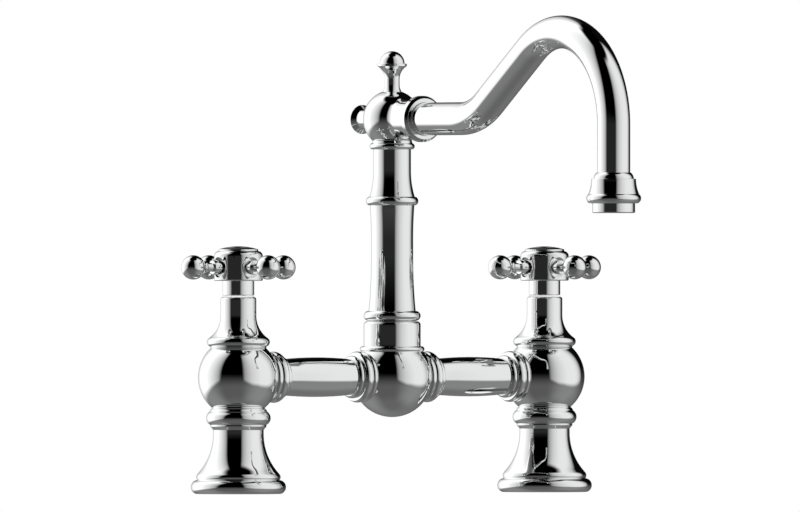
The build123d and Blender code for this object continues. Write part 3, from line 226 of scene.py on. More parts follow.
class HandleSizes(bpy.types.PropertyGroup):
    """The cross handle: sleeve, hub, cap and arms."""

    __annotations__ = lengths(
        sleeve_radius=(8.7, "Radius of the sleeve under the hub"),
        sleeve_edge=(0.4, "Rounding of the sleeve's lower edge"),
        hub_radius=(13.4, "Radius of the hub drum"),
        hub_bevel=(0.7, "Rounding under the hub"),
        shoulder_radius=(11.8, "Radius at the top of the shoulder"),
        shoulder_height=(2.1, "Height of the rounded shoulder"),
        shoulder_bow=(2.9, "Radius of the shoulder's rounding"),
        socket_radius=(4.25, "Bore on the splined spindle"),
        socket_depth=(4.0, "Depth of the spindle socket"),
        web=(4.0, "Floor that the screw pulls down on"),
        screw_hole=(2.2, "Hole for the handle screw"),
        screw_head=(3.8, "Room for the screw's head"),
        recess_radius=(8.85, "Radius of the recess for the cap"),
        recess_depth=(2.5, "Depth of the recess for the cap"),
        cap_foot=(11.4, "Radius of the index cap where it sits on the hub"),
        cap_bevel=(0.35, "Height of the bevel at the cap's foot"),
        cap_radius=(10.9, "Radius of the cap's straight rim"),
        cap_height=(2.85, "Height of the cap's middle above the hub"),
        cap_dome=(36.0, "Radius of the cap's domed top"),
        cap_spigot=(8.8, "Radius of the cap's spigot"),
        groove_radius=(6.4, "Outer radius of the engraved ring"),
        groove_width=(0.5, "Width of the engraved ring"),
        groove_depth=(0.3, "Depth of the engraved ring"),
        arm_height=(7.4, "Arm axis above the underside of the hub"),
        seat_radius=(5.6, "Radius of the recess round each arm"),
        seat_floor=(9.8, "Distance of the recess's floor from the axis"),
        stem_radius=(2.0, "Radius of an arm's stem"),
        stem_length=(4.2, "Length of an arm's stem"),
        bead_radius=(4.1, "Widest radius of the barrel bead"),
        bead_root=(3.7, "Radius at the ends of the barrel bead"),
        bead_length=(7.4, "Length of the barrel bead"),
        neck_radius=(2.5, "Radius of the neck"),
        neck_length=(4.0, "Length of the neck"),
        ring_radius=(3.3, "Widest radius of the thin ring"),
        ring_width=(2.5, "Width of the thin ring"),
        ring_root=(3.0, "Radius between the thin ring and the ball"),
        knob_radius=(6.7, "Radius of the ball at the tip"),
    )


class BridgeSizes(bpy.types.PropertyGroup):
    """The bridge tubes and the collars at their ends."""

    __annotations__ = lengths(
        tube_radius=(9.95, "Radius of a bridge tube at its ends"),
        swell=(0.95, "How much wider a tube is at its middle"),
        bore=(8.5, "Bore of a bridge tube"),
        first_radius=(13.9, "Widest radius of the bead beside the ball"),
        first_width=(2.9, "Width of the bead beside the ball"),
        groove_radius=(13.25, "Radius of the groove between the two beads"),
        big_radius=(14.1, "Widest radius of the second bead"),
        big_root=(13.2, "Radius where the beads start and end"),
        big_width=(4.5, "Width of the second bead"),
        step=(0.2, "Width of the step down to the small ring"),
        small_radius=(11.85, "Widest radius of the small ring"),
        small_root=(11.65, "Radius where the small ring starts"),
        small_tip=(10.5, "Radius where the small ring ends"),
        small_width=(3.3, "Width of the small ring"),
    )


class SocketSizes(bpy.types.PropertyGroup):
    """The centre ball, its bead and the tall socket of the swivel."""

    __annotations__ = lengths(
        bead_foot=(17.2, "Ball radius where the bead starts"),
        bead_radius=(17.8, "Widest radius of the bead"),
        bead_crest=(0.8, "Widest part above the foot of the bead"),
        bead_height=(2.8, "Height of the bead"),
        radius=(15.75, "Radius of the socket"),
        edge=(2.0, "Rounding of the upper edge"),
        bore=(12.0, "Bore that the column turns in"),
        bore_depth=(21.0, "Depth of the swivel bore"),
        mixing_radius=(11.0, "Radius of the mixing space"),
        mixing_depth=(11.0, "Floor below the bridge axis"),
        screw_radius=(2.55, "Hole of the lock screw at the back"),
    )


class ColumnSizes(bpy.types.PropertyGroup):
    """The turning column between socket and head."""

    __annotations__ = lengths(
        foot_ring=(15.75, "Widest radius of the foot ring"),
        foot_root=(13.4, "Radius at the ends of the foot ring"),
        foot_height=(5.4, "Height of the foot ring"),
        lower_foot=(13.0, "Radius above the foot ring"),
        lower_waist=(11.6, "Narrowest radius of the lower column"),
        lower_head=(12.3, "Radius under the middle ring"),
        waist_start=(35.0, "Height where the waist starts"),
        waist_end=(45.0, "Height where the waist ends"),
        mid_ring=(14.5, "Widest radius of the middle ring"),
        mid_root=(13.0, "Radius at its ends"),
        upper_foot=(12.5, "Radius above the middle ring"),
        upper_waist=(10.4, "Narrowest radius of the upper column"),
        upper_start=(14.0, "Height where that waist starts"),
        top_ring=(12.5, "Widest radius of the ring under the head"),
        top_root=(11.2, "Radius at its ends"),
        top_height=(3.4, "Height of the ring under the head"),
        top_neck=(1.4, "Short neck between the ring and the head"),
        head_foot=(10.9, "Radius where the head sits down"),
        lip_radius=(12.9, "Radius of the thin lip over the swivel gap"),
        lip_depth=(0.24, "How far the lip hangs into the swivel gap"),
    )


class HeadSizes(bpy.types.PropertyGroup):
    """The ball head, its finial and its rear plug."""

    __annotations__ = lengths(
        radius=(16.1, "Radius of the head"),
        bore=(7.0, "Bore from the plug to the spout"),
        boss_radius=(10.4, "Radius of the boss that takes the spout"),
        boss_cove=(7.0, "Radius of the hollow between ball and boss"),
        boss_edge=(0.5, "Easing of the boss's edges"),
        socket_start=(15.0, "Where the spout tube starts"),
        stem_radius=(3.0, "Radius of the finial's stem"),
        stem_length=(6.5, "Length of the finial's stem"),
        finial_foot=(5.3, "Radius of the finial's foot"),
        finial_neck=(4.1, "Radius of the finial's neck"),
        cove_height=(4.0, "Height of the cove above the foot"),
        neck_length=(3.0, "Length of the straight neck"),
        cup_height=(7.2, "Height of the flared cup"),
        rim_height=(1.4, "Height of the cup's rim"),
        rim_radius=(8.1, "Radius of the cup's rim"),
        ball_radius=(6.9, "Radius of the finial's ball"),
        plug_seat=(8.2, "Radius of the hole that takes the rear plug"),
        plug_radius=(8.05, "Radius of the rear plug's rim"),
        plug_neck=(5.6, "Radius of the neck between head and rim"),
        plug_length=(16.9, "Length of the rear plug outside the head"),
        plug_stem=(5.2, "Length of the plug inside the head"),
        plug_flare=(2.6, "Length of the flare from neck to rim"),
        plug_rim=(0.3, "Thickness of the rim"),
        plug_crown=(0.75, "Height of the domed end behind the rim"),
    )


class SpoutSizes(bpy.types.PropertyGroup):
    """The crook-shaped tube and the collar at its root."""

    __annotations__ = lengths(
        tube_radius=(9.04, "Radius of the spout tube"),
        wall=(1.5, "Wall of the spout tube"),
        reach=(218.0, "Column axis to nozzle axis"),
        elbow_reach=(84.0, "Where the level run would meet the slope"),
        elbow_bend=(46.6, "Centreline radius of the first bend"),
        crown_bend=(50.9, "Centreline radius over the crown"),
        collar_radius=(12.75, "Radius of the collar"),
        collar_bevel=(0.8, "Bevel at the back of the collar"),
        collar_thickness=(5.5, "Thickness of the collar"),
        bevel_radius=(11.3, "Radius of the collar's flat face inside its bevel"),
        bevel_length=(1.75, "How far the front bevel runs back"),
        collar_mouth=(0.35, "Chamfer of the collar's bore at its face"),
    )
    slope: angle("Slope", 35.0, "Slope of the tube above level")


class OutletSizes(bpy.types.PropertyGroup):
    """The nozzle collar and the shell of the aerator."""

    __annotations__ = lengths(
        rim_radius=(13.0, "Radius at the lower rim"),
        bead_radius=(14.99, "Widest radius of the bead"),
        bead_rise=(2.9, "Widest part above the rim"),
        flare_radius=(13.9, "Radius where flare and bead meet"),
        flare_rise=(5.0, "Height of that above the rim"),
        step_radius=(12.2, "Radius of the step"),
        step_rise=(13.4, "Height of the step above the rim"),
        ogee_radius=(11.0, "Radius at the foot of the ogee"),
        thread_radius=(11.0, "Radius of the aerator's thread"),
        thread_length=(6.0, "Length of the aerator's thread"),
        washer=(1.4, "Room for the aerator's washer"),
        shoulder=(1.0, "Shoulder between tube and washer"),
        shell_radius=(11.7, "Radius of the aerator's shell"),
        shell_edge=(0.5, "Bevel of the shell's lower edge"),
        shell_wall=(1.4, "Wall of the shell at its thread"),
        lip=(0.9, "Thickness of the lip under the insert"),
        lip_width=(1.0, "Width of the lip under the insert"),
    )


class FasteningSizes(bpy.types.PropertyGroup):
    """Shanks, gaskets, washers and nuts."""

    __annotations__ = lengths(
        bore=(6.5, "Bore of the shank"),
        chamfer=(1.2, "Chamfer at the shank's ends"),
        pitch=(1.814, "Pitch of the half-inch pipe thread"),
        depth=(1.0, "Depth of the thread"),
        inlet_length=(15.0, "Threaded end that takes the supply nut"),
        groove_width=(2.0, "Width of the relief groove"),
        groove_depth=(0.9, "Depth of the relief groove"),
        bare_top=(4.0, "Bare length below the worktop plane"),
        nut_chamfer=(1.6, "How far the nut's corners are turned down"),
        gasket_bore=(14.0, "Bore of the worktop gaskets"),
    )


class FinishSettings(bpy.types.PropertyGroup):
    """Colours and polish of the finishes."""

    chrome: colour("Chrome", (0.95, 0.955, 0.96), "Reflected colour of the polished chrome")
    chrome_roughness: FloatProperty(
        name="Chrome roughness",
        description="Roughness of the polished chrome",
        default=0.022,
        min=0.0,
        max=1.0,
        subtype="FACTOR",
    )
    brass: colour("Brass", (0.80, 0.60, 0.27), "Colour of bare machined brass")
    steel: colour("Steel", (0.60, 0.60, 0.61), "Colour of machined stainless steel")
    ceramic: colour("Ceramic", (0.90, 0.88, 0.84), "Colour of the lapped discs")
    acetal: colour("Acetal", (0.96, 0.96, 0.955), "Colour of the pale glide rings")
    plastic: colour("Plastic", (0.60, 0.62, 0.66), "Colour of the aerator insert")
    rubber: colour("Rubber", (0.022, 0.022, 0.024), "Colour of seals and gaskets")


class StudioSettings(bpy.types.PropertyGroup):
    """The camera and the surroundings that the chrome reflects."""

    __annotations__ = lengths(
        frame_width=(442.1, "Width of the picture at the column"),
        aim_right=(4.33, "Picture centre to the right of the column"),
        aim_height=(130.9, "Picture centre above the worktop plane"),
        floor_half=(15000.0, "Half the width of the pale floor"),
    )
    azimuth: angle("Camera azimuth", -33.65, "Camera direction round the faucet, nought along +Y")
    lens: FloatProperty(
        name="Focal length", description="Camera focal length", default=1080.0, unit="CAMERA"
    )
    backdrop: brightness("Backdrop", 1.0, "Brightness of floor and backdrop")
    softness: brightness("Soft light", 1.25, "Brightness of the even light on pale and dull pieces")


GROUPS = {
    "faucet_fits": FitSizes,
    "faucet_foot": FootSizes,
    "faucet_ball": BallSizes,
    "faucet_bonnet": BonnetSizes,
    "faucet_handle": HandleSizes,
    "faucet_bridge": BridgeSizes,
    "faucet_socket": SocketSizes,
    "faucet_column": ColumnSizes,
    "faucet_head": HeadSizes,
    "faucet_spout": SpoutSizes,
    "faucet_outlet": OutletSizes,
    "faucet_fastening": FasteningSizes,
    "faucet_finish": FinishSettings,
    "faucet_studio": StudioSettings,
}


# --- places taken from the frame ------------------------------------------------------------
@lru_cache(maxsize=None)
def box(node):
    """Lowest and highest corner of a CAD node, as arrays in metres."""
    lowest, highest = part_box(node)
    return np.array(lowest), np.array(highest)


def foot_of(node):
    """Height of the node's lowest point."""
    return box(node)[0][2]


def top_of(node):
    """Height of the node's highest point."""
    return box(node)[1][2]


def height_of(node):
    """Height from the node's lowest point to its highest."""
    return top_of(node) - foot_of(node)


def axis_of(side):
    """X and Y of a pillar's vertical axis: the one its handle turns about."""
    handle = dict((name, body) for name, body, _ in SIDES)[side]
    joints = frame["record"]["behaviour"]["joints"]
    return next(joint["pos_m"][:2] for joint in joints if joint["child"] == handle)


# --- outlines ---------------------------------------------------------------------------------
def on_ball(ball_radius, ring_radius):
    """Along the axis, from a ball's centre to its circle of this radius: sqrt(ball² - ring²)."""
    return sqrt(ball_radius**2 - ring_radius**2)


def arc(start, via, end):
    """Circle through three points: centre + radius (cos a, sin a), a running evenly from start
    past via to end."""
    (ax, ay), (bx, by), (cx, cy) = start, via, end
    twice = 2 * (ax * (by - cy) + bx * (cy - ay) + cx * (ay - by))
    a2, b2, c2 = ax**2 + ay**2, bx**2 + by**2, cx**2 + cy**2
    ux = (a2 * (by - cy) + b2 * (cy - ay) + c2 * (ay - by)) / twice
    uy = (a2 * (cx - bx) + b2 * (ax - cx) + c2 * (bx - ax)) / twice
    first = atan2(ay - uy, ax - ux)
    middle = (atan2(by - uy, bx - ux) - first) % (2 * pi)
    whole = (atan2(cy - uy, cx - ux) - first) % (2 * pi)
    whole -= 2 * pi * (middle > whole)
    steps = max(ARC_LEAST, ceil(abs(whole) / ARC_STEP))
    angle = first + whole * np.linspace(0, 1, steps + 1)
    points = np.stack((ux + hypot(ax - ux, ay - uy) * np.cos(angle),
                       uy + hypot(ax - ux, ay - uy) * np.sin(angle)), 1)
    points[0], points[-1] = start, end
    return points


def bead(low, high, root, widest, upper_root=None):
    """Arc of a bead between two heights: from radius root over widest, halfway, to upper_root
    or root."""
    return arc((root, low), (widest, (low + high) / 2), (upper_root or root, high))


def leaving(start, end, heading=(0, 1)):
    """Circle that leaves start along heading and reaches end: its centre is start + n |d|² / (2
    d.n), with d from start to end and n square to heading."""
    start, end = np.array(start, float), np.array(end, float)
    square = np.array((-heading[1], heading[0]), float) / hypot(*heading)
    chord = end - start
    centre = start + square * (chord @ chord) / (2 * (chord @ square))
    outward = (start + end) / 2 - centre
    via = centre + outward / hypot(*outward) * hypot(*(start - centre))
    return arc(start, via, end)


def arriving(start, end, heading=(0, 1)):
    """Circle from start that reaches end along heading: the leaving circle run backwards."""
    return leaving(end, start, (-heading[0], -heading[1]))[::-1]


def bowed(start, end, radius):
    """Arc of this radius from start to end, bulging to the right of the way: its middle is the
    chord's middle plus the sagitta radius - sqrt(radius² - (chord/2)²)."""
    start, end = np.array(start, float), np.array(end, float)
    chord = end - start
    span = hypot(*chord)
    sagitta = radius - sqrt(radius**2 - span**2 / 4)
    via = (start + end) / 2 + np.array((chord[1], -chord[0])) / span * sagitta
    return arc(start, via, end)


def stair(*sizes):
    """Corners of a stepped wall: height, radius, height and so on to a last height, where each
    radius runs from the height before it to the one after."""
    heights, radii = sizes[::2], sizes[1::2]
    runs = zip(radii, heights, heights[1:])
    return [(radius, height) for radius, *ends in runs for height in ends]


def wall_of(line, radius, above=-1.0):
    """Lowest and highest point of an outline's straight wall at this radius, above a height."""
    wall = line[(np.abs(line[:, 0] - radius) < SAME) & (line[:, 1] > above - SAME), 1]
    return wall.min(), wall.max()


def points_at(distance, place, line):
    """Points of a line at these distances along it; place holds those of its own points."""
    return np.stack([np.interp(distance, place, line[:, k]) for k in (0, 1)], -1)


def eased(line, place, edge):
    """The line with each corner C made the parabola (1-u)²A + 2u(1-u)C + u²B between the points
    A and B that lie the distance edge before and after it. Gives distances and points."""
    step = np.diff(line, axis=0)
    angle = np.arctan2(step[:, 1], step[:, 0])
    turn = np.abs((np.diff(angle) + pi) % (2 * pi) - pi)
    corners = np.flatnonzero(turn > CORNER_TURN) + 1
    middle = place[corners]
    runs = np.diff(np.r_[0, middle, place[-1]])
    reach = np.minimum(edge, CORNER_SHARE * np.minimum(runs[:-1], runs[1:]))
    away = np.abs(place[:, None] - middle[None, :]) > reach[None, :] * CORNER_CLEAR
    kept = np.flatnonzero(away.all(1))
    u = np.linspace(0, 1, EASE_STEPS + 1)[:, None, None]
    before, after = (points_at(middle + way * reach, place, line) for way in (-1, 1))
    bends = (1 - u) ** 2 * before + 2 * u * (1 - u) * line[corners] + u**2 * after
    places = np.r_[place[kept], (middle + (2 * u[:, :, 0] - 1) * reach).ravel()]
    points = np.vstack((line[kept], bends.reshape(-1, 2)))
    order = np.argsort(places, kind="stable")
    return places[order], points[order]


def held(places, points, straight):
    """The points, with one more the length HOLD inside each end of every straight run."""
    wide = np.flatnonzero((np.diff(places) > HELD_RUN) & straight)
    hold = np.r_[places[wide] + HOLD, places[wide + 1] - HOLD]
    order = np.argsort(np.r_[places, hold], kind="stable")
    return np.vstack((points, points_at(hold, places, points)))[order]


def outline(*parts, edge=EDGE):
    """Half outline (radius, height) of a turned piece, closed if it isn't on the axis: points
    and arcs laid end to end, with its corners eased and its straight walls held."""
    parts = [np.atleast_2d(np.asarray(part, float)) for part in parts]
    curved = np.concatenate([np.arange(len(part)) < len(part) - 1 for part in parts])
    line = np.vstack(parts)
    kept = np.r_[np.hypot(*np.diff(line, axis=0).T) > TOUCH, True]
    line, curved = line[kept], curved[kept]
    poles = line[0, 0] < TOUCH and line[-1, 0] < TOUCH
    if not poles:
        if hypot(*(line[0] - line[-1])) < TOUCH:
            line, curved = line[:-1], curved[:-1]
        seam = (line[0] + line[-1]) / 2
        line, curved = np.vstack((seam, line, seam)), np.r_[False, curved, False]
    place = np.r_[0, np.cumsum(np.hypot(*np.diff(line, axis=0).T))]
    places, points = eased(line, place, edge)
    run = np.searchsorted(place, (places[1:] + places[:-1]) / 2) - 1
    points = held(places, points, ~curved[run])
    return points if poles else points[:-1]


# --- surfaces ---------------------------------------------------------------------------------
def ring_faces(rows, around, closed):
    """Four-cornered faces of a grid whose rows are rings; a closed one joins its last row to
    its first."""
    i = np.arange(rows if closed else rows - 1)[:, None]
    j = np.arange(around)[None, :]
    below, above, right = i * around, (i + 1) % rows * around, (j + 1) % around
    return np.stack((below + j, below + right, above + right, above + j), -1).reshape(-1, 4)


def once_round(around):
    """Angles of the steps once round: 2 pi j / around, j from nought."""
    return np.arange(around) * 2 * pi / around


def turned(line, origin, along=UP, out=RIGHT, around=AROUND, shape=None):
    """Surface of revolution: origin + h along + r (cos t out + sin t across), with (r, h) from
    the line, t once round, and across = along x out. shape(r, h, t) may change r. An outline
    that starts and ends on the axis is closed there by fans."""
    poles = line[0, 0] < TOUCH and line[-1, 0] < TOUCH
    r, h = line[:, 0], line[:, 1]
    if np.sum(r * np.roll(h, -1) - np.roll(r, -1) * h) < 0:
        r, h = r[::-1], h[::-1]
    ends = (h[0], h[-1])
    if poles:
        r, h = r[1:-1], h[1:-1]
    along, out = np.array(along, float), np.array(out, float)
    across = np.cross(along, out)
    t = once_round(around)
    radius = np.broadcast_to(r[:, None], (len(r), around))
    if shape:
        radius = shape(radius, h[:, None], t[None, :])
    direction = np.cos(t)[:, None] * out + np.sin(t)[:, None] * across
    points = np.array(origin, float) + h[:, None, None] * along + radius[:, :, None] * direction
    points = points.reshape(-1, 3)
    quads = ring_faces(len(r), around, not poles)
    tris = NO_TRIS
    if poles:
        tips = np.array([np.array(origin, float) + end * along for end in ends])
        j = np.arange(around)
        right, last = (j + 1) % around, (len(r) - 1) * around
        low = np.full(around, len(points))
        tris = np.vstack((np.stack((low, right, j), 1),
                          np.stack((low + 1, last + j, last + right), 1)))
        points = np.vstack((points, tips))
    return points, quads, tris


def pierced(line, origin, wall, pockets, pocket, pocket_height, sector=36, rows=10):
    """A turned piece whose straight wall, from height wall[0] to wall[1], has round pockets at
    the angles pockets. The sector of wall round each is made with its pocket; between them
    radius (cos t, sin t) and height run evenly."""
    ox, oy, oz = origin
    at_wall = (line[:, 1] > wall[0] - SAME) & (line[:, 1] < wall[1] + SAME)
    radius = line[at_wall, 0].max()
    skin_points, skin_quads, skin_tris = turned(line, origin)
    on_wall = np.abs(np.hypot(skin_points[:, 0] - ox, skin_points[:, 1] - oy) - radius) < SAME
    height = skin_points[:, 2] - oz
    bare = on_wall & (height > wall[0] - SAME) & (height < wall[1] + SAME)
    skin_quads = skin_quads[~bare[skin_quads].all(1)]
    z = np.linspace(*wall, rows + 1)
    t = once_round(AROUND)
    grid = np.stack(np.broadcast_arrays(ox + radius * np.cos(t)[None, :],
                                        oy + radius * np.sin(t)[None, :],
                                        oz + z[:, None]), -1)
    quads = ring_faces(rows + 1, AROUND, False).reshape(rows, AROUND, 4)
    parts, plain = [], np.ones(AROUND, bool)
    for facing in pockets:
        steps = round(facing / (2 * pi) * AROUND) - sector // 2 + np.arange(sector + 1)
        plain[steps[:-1] % AROUND] = False
        across = radius * np.sin(steps * 2 * pi / AROUND - facing)
        parts.append(pocketed((ox, oy, oz + pocket_height), facing, radius, across,
                              z - pocket_height, np.array(pocket, float)))
    parts.append((skin_points, skin_quads, skin_tris))
    parts.append((grid.reshape(-1, 3), quads[:, plain].reshape(-1, 4), NO_TRIS))
    return welded(joined(parts))


def pocketed(centre, facing, radius, across, level, pocket):
    """A sector of a cylinder's wall with a round pocket; across and level are its columns and
    rows, seen from the pocket's axis, which leaves the cylinder's at centre. (1-s) border + s
    lip slides from the sector's border to the pocket's lip, always on the cylinder, at
    sqrt(radius² - across²); the lip is eased by a quarter circle, and below it the pocket's own
    outline, points (radius, distance from centre), is turned about the pocket's axis."""
    columns, rows = len(across) - 1, len(level) - 1
    u = np.linspace(0, pi / 2, EASE_STEPS + 1)[:, None]
    lip, sunk = pocket[0, 0] + EDGE * (1 - np.sin(u)), EDGE * (1 - np.cos(u))
    border = np.vstack((
        np.stack((across[:-1], np.full(columns, level[0])), 1),
        np.stack((np.full(rows, across[-1]), level[:-1]), 1),
        np.stack((across[:0:-1], np.full(columns, level[-1])), 1),
        np.stack((np.full(rows, across[0]), level[:0:-1]), 1),
    ))
    angle = np.arctan2(border[:, 1], border[:, 0])
    circle = np.stack((np.cos(angle), np.sin(angle)), -1)
    s = np.linspace(0, 1, SHEET_STEPS + 1)[:, None, None]
    sheet = (1 - s) * border + s * (lip[0] * circle)
    rings = np.vstack((lip[1:], pocket[:, :1]))[:, :, None] * circle
    lip_out = np.sqrt(radius**2 - (lip[1:] * np.cos(angle)) ** 2) - sunk[1:]
    out = np.vstack((np.sqrt(radius**2 - sheet[:, :, 0] ** 2), lip_out, pocket[:, 1:] + 0 * angle))
    flat = np.concatenate((sheet, rings))
    outward = np.array((cos(facing), sin(facing), 0))
    sideways = np.array((-sin(facing), cos(facing), 0))
    points = (np.array(centre) + out[:, :, None] * outward
              + flat[:, :, :1] * sideways + flat[:, :, 1:] * np.array(UP))
    count = points.shape[1]
    faces = ring_faces(len(points), count, False)
    j, last = np.arange(count), (len(points) - 1) * count
    hub = np.full(count, len(points) * count)
    fan = np.stack((last + j, last + (j + 1) % count, hub), 1)
    return np.vstack((points.reshape(-1, 3), points[-1].mean(0))), faces, fan


def joined(parts):
    """Several surfaces as one: points stacked, and each one's faces numbered on from the last."""
    starts = np.cumsum([0] + [len(points) for points, _, _ in parts])
    return (np.vstack([points for points, _, _ in parts]),
            np.vstack([quads + start for (_, quads, _), start in zip(parts, starts)]),
            np.vstack([tris + start for (_, _, tris), start in zip(parts, starts)]))


def welded(surface):
    """The surface with points that lie in the same place made one, and unused ones dropped."""
    points, quads, tris = surface
    _, first, same = np.unique(np.round(points, WELD), axis=0, return_index=True, return_inverse=True)
    same = same.ravel()
    quads, tris = same[quads], same[tris]
    used = np.unique(np.r_[quads.ravel(), tris.ravel()])
    new = np.zeros(len(first), int)
    new[used] = np.arange(len(used))
    return points[first][used], new[quads], new[tris]


def bent_path(corners, bends):
    """Centreline through corners (distance out, height) with tangent arcs: on each, centre +
    bend (cos a, sin a) with a running over the turn. Gives points and unit headings."""
    corners = np.array(corners, float)
    legs = np.diff(corners, axis=0)
    legs /= np.hypot(*legs.T)[:, None]
    points, headings = [corners[0]], [legs[0]]
    for corner, bend, leg, onward in zip(corners[1:-1], bends, legs[:-1], legs[1:]):
        whole = atan2(leg[0] * onward[1] - leg[1] * onward[0], leg @ onward)
        square = np.array((-leg[1], leg[0])) * np.sign(whole)
        centre = corner - leg * bend * tan(abs(whole) / 2) + square * bend
        steps = ceil(abs(whole) / BEND_STEP)
        turn = whole * np.linspace(0, 1, steps + 1)[:, None]
        points += list(centre - square * bend * np.cos(turn) + leg * bend * np.sin(np.abs(turn)))
        headings += list(leg * np.cos(turn) + np.array((-leg[1], leg[0])) * np.sin(turn))
    return np.array(points + [corners[-1]]), np.array(headings + [legs[-1]])


def pipe(path, headings, radius, bore, around=AROUND):
    """A tube swept along a path in the plane of the spout: centre + r (cos t across + sin t
    upright), upright square to the heading; the outer wall runs out, the bore runs back."""
    def spread(points):
        """Points (distance out, height) in the plane of the spout: (0, -out, height)."""
        return np.stack((0 * points[:, 0], -points[:, 0], points[:, 1]), 1)

    centre, heading = spread(path), spread(headings)
    across = np.array(RIGHT)
    upright = np.cross(heading, across)
    t = once_round(around)[None, :, None]
    circle = np.cos(t) * across + np.sin(t) * upright[:, None, :]
    outer, inner = centre[:, None] + radius * circle, (centre[:, None] + bore * circle)[::-1]
    points = np.concatenate((outer, inner)).reshape(-1, 3)
    return points, ring_faces(2 * len(path), around, True), NO_TRIS


def add_piece(name, body, parts, *nodes, slot=CHROME):
    """Makes one mesh of the surfaces, gives it its finish, and lets it ride on its body in
    place of its CAD nodes."""
    points, quads, tris = joined(parts)
    mesh = bpy.data.meshes.new(name)
    corners = np.r_[quads.ravel(), tris.ravel()].astype(np.int32)
    starts = np.r_[4 * np.arange(len(quads)), 4 * len(quads) + 3 * np.arange(len(tris))]
    mesh.vertices.add(len(points))
    mesh.vertices.foreach_set("co", points.astype(np.float32).ravel())
    mesh.loops.add(len(corners))
    mesh.loops.foreach_set("vertex_index", corners)
    mesh.polygons.add(len(starts))
    mesh.polygons.foreach_set("loop_start", starts.astype(np.int32))
    mesh.polygons.foreach_set("use_smooth", np.ones(len(starts), bool))
    mesh.update(calc_edges=True)
    if mesh.validate():
        raise ValueError(f"the mesh of {name} had faulty faces")
    mesh.set_sharp_from_angle(angle=SHARP_ANGLE)
    mesh.materials.append(finish(slot))
    piece = bpy.data.objects.new(name, mesh)
    bpy.context.scene.collection.objects.link(piece)
    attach(piece, body)
    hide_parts(*nodes)
    return piece


def turn_piece(name, body, node, line, origin, along=UP, out=RIGHT, around=AROUND, shape=None,
               slot=CHROME):
    """A piece that is one surface of revolution."""
    return add_piece(name, body, [turned(line, origin, along, out, around, shape)], node, slot=slot)


# --- finishes ---------------------------------------------------------------------------------
RELIEF = 0.00002        # height of the bumps on machined and moulded pieces, in metres
HAZED, STAINED, CLOUDED = 0.985, 0.72, 0.88     # share of the colour left where it is darkest
MACHINED = {            # slot: colour, roughness, tool lines as radians a metre
    BRASS: ("brass", 0.20, 14000.0),
    STAINLESS: ("steel", 0.26, 9000.0),
}
MOULDED = {             # slot: colour, roughness, grains a metre, strength of the bumps
    "ceramic": ("ceramic", 0.12, 900.0, 0.1),
    ACETAL: ("acetal", 0.35, 1500.0, 0.2),
    "aerator_plastic": ("plastic", 0.40, 1200.0, 0.2),
    RUBBER: ("rubber", 0.62, 1800.0, 0.5),
}


class Term:
    """A node's output that can be used in arithmetic."""

    def __init__(self, graph, socket):
        self.graph, self.socket = graph, socket

    def __add__(self, other):
        return self.graph.maths("ADD", self, other)

    def __sub__(self, other):
        return self.graph.maths("SUBTRACT", self, other)

    def __rsub__(self, other):
        return self.graph.maths("SUBTRACT", other, self)

    def __mul__(self, other):
        return self.graph.maths("MULTIPLY", self, other)

    def __truediv__(self, other):
        return self.graph.maths("DIVIDE", self, other)

    __radd__, __rmul__ = __add__, __mul__


class Graph:
    """Builds the nodes of one material or world."""

    def __init__(self, tree):
        self.tree = tree
        tree.nodes.clear()

    def node(self, kind, inputs=None, stops=None, output=0, **settings):
        """Adds a node: its settings and ramp stops first, then the value or link of each
        socket. Gives the wanted output as a term, or the node itself if output is None."""
        made = self.tree.nodes.new(kind)
        for name, value in settings.items():
            setattr(made, name, value)
        if stops:
            ramp = made.color_ramp
            while len(ramp.elements) < len(stops):
                ramp.elements.new(1.0)
            for element, (place, grey) in zip(ramp.elements, stops):
                element.position = place
                element.color = (grey, grey, grey, 1.0)
        for key, value in (inputs or {}).items():
            if isinstance(value, Term):
                self.tree.links.new(value.socket, made.inputs[key])
            else:
                made.inputs[key].default_value = value
        return made if output is None else Term(self, made.outputs[output])

    def maths(self, operation, *values):
        """One Math node on terms and numbers."""
        return self.node("ShaderNodeMath", dict(enumerate(values)), operation=operation)

    def between(self, value, low, high, first=0.0, last=1.0):
        """A smooth step from first to last while value runs from low to high."""
        return self.node(
            "ShaderNodeMapRange",
            {"Value": value, "From Min": low, "From Max": high, "To Min": first, "To Max": last},
            interpolation_type="SMOOTHSTEP",
        )


def mottle(graph, scale, detail=2.0):
    """Fine uneven noise, nought to one, of scale cells a metre, fixed to the piece."""
    place = graph.node("ShaderNodeTexCoord", output="Object")
    return graph.node("ShaderNodeTexNoise", {"Vector": place, "Scale": scale, "Detail": detail})


def tinted(graph, value, darker, amount):
    """The colour, darkened by the factor darker where amount is one."""
    deep = tuple(channel * darker for channel in value)
    return graph.node(
        "ShaderNodeMix",
        {0: amount, 6: (*value, 1.0), 7: (*deep, 1.0)},
        data_type="RGBA",
        output=2,
    )


def surface(graph, inputs):
    """The principled shader with these inputs, as the material's surface."""
    shader = graph.node("ShaderNodeBsdfPrincipled", inputs)
    graph.node("ShaderNodeOutputMaterial", {"Surface": shader}, output=None)


def finish_graph(name):
    """A new material and its graph."""
    material = bpy.data.materials.new(name)
    material.use_nodes = True
    return material, Graph(material.node_tree)


def chrome_finish(settings):
    """Mirror chrome, as rough as the setting x (0.6 + 0.5 haze + 0.3 wear), where haze is slow
    and wear is fine; the haze dulls its colour a little."""
    material, graph = finish_graph(CHROME)
    haze, wear = mottle(graph, scale=35.0), mottle(graph, scale=240.0, detail=3.0)
    surface(graph, {
        "Base Color": tinted(graph, settings.chrome, HAZED, haze),
        "Roughness": settings.chrome_roughness * (0.6 + 0.5 * haze + 0.3 * wear),
        "Metallic": 1.0,
    })
    return material


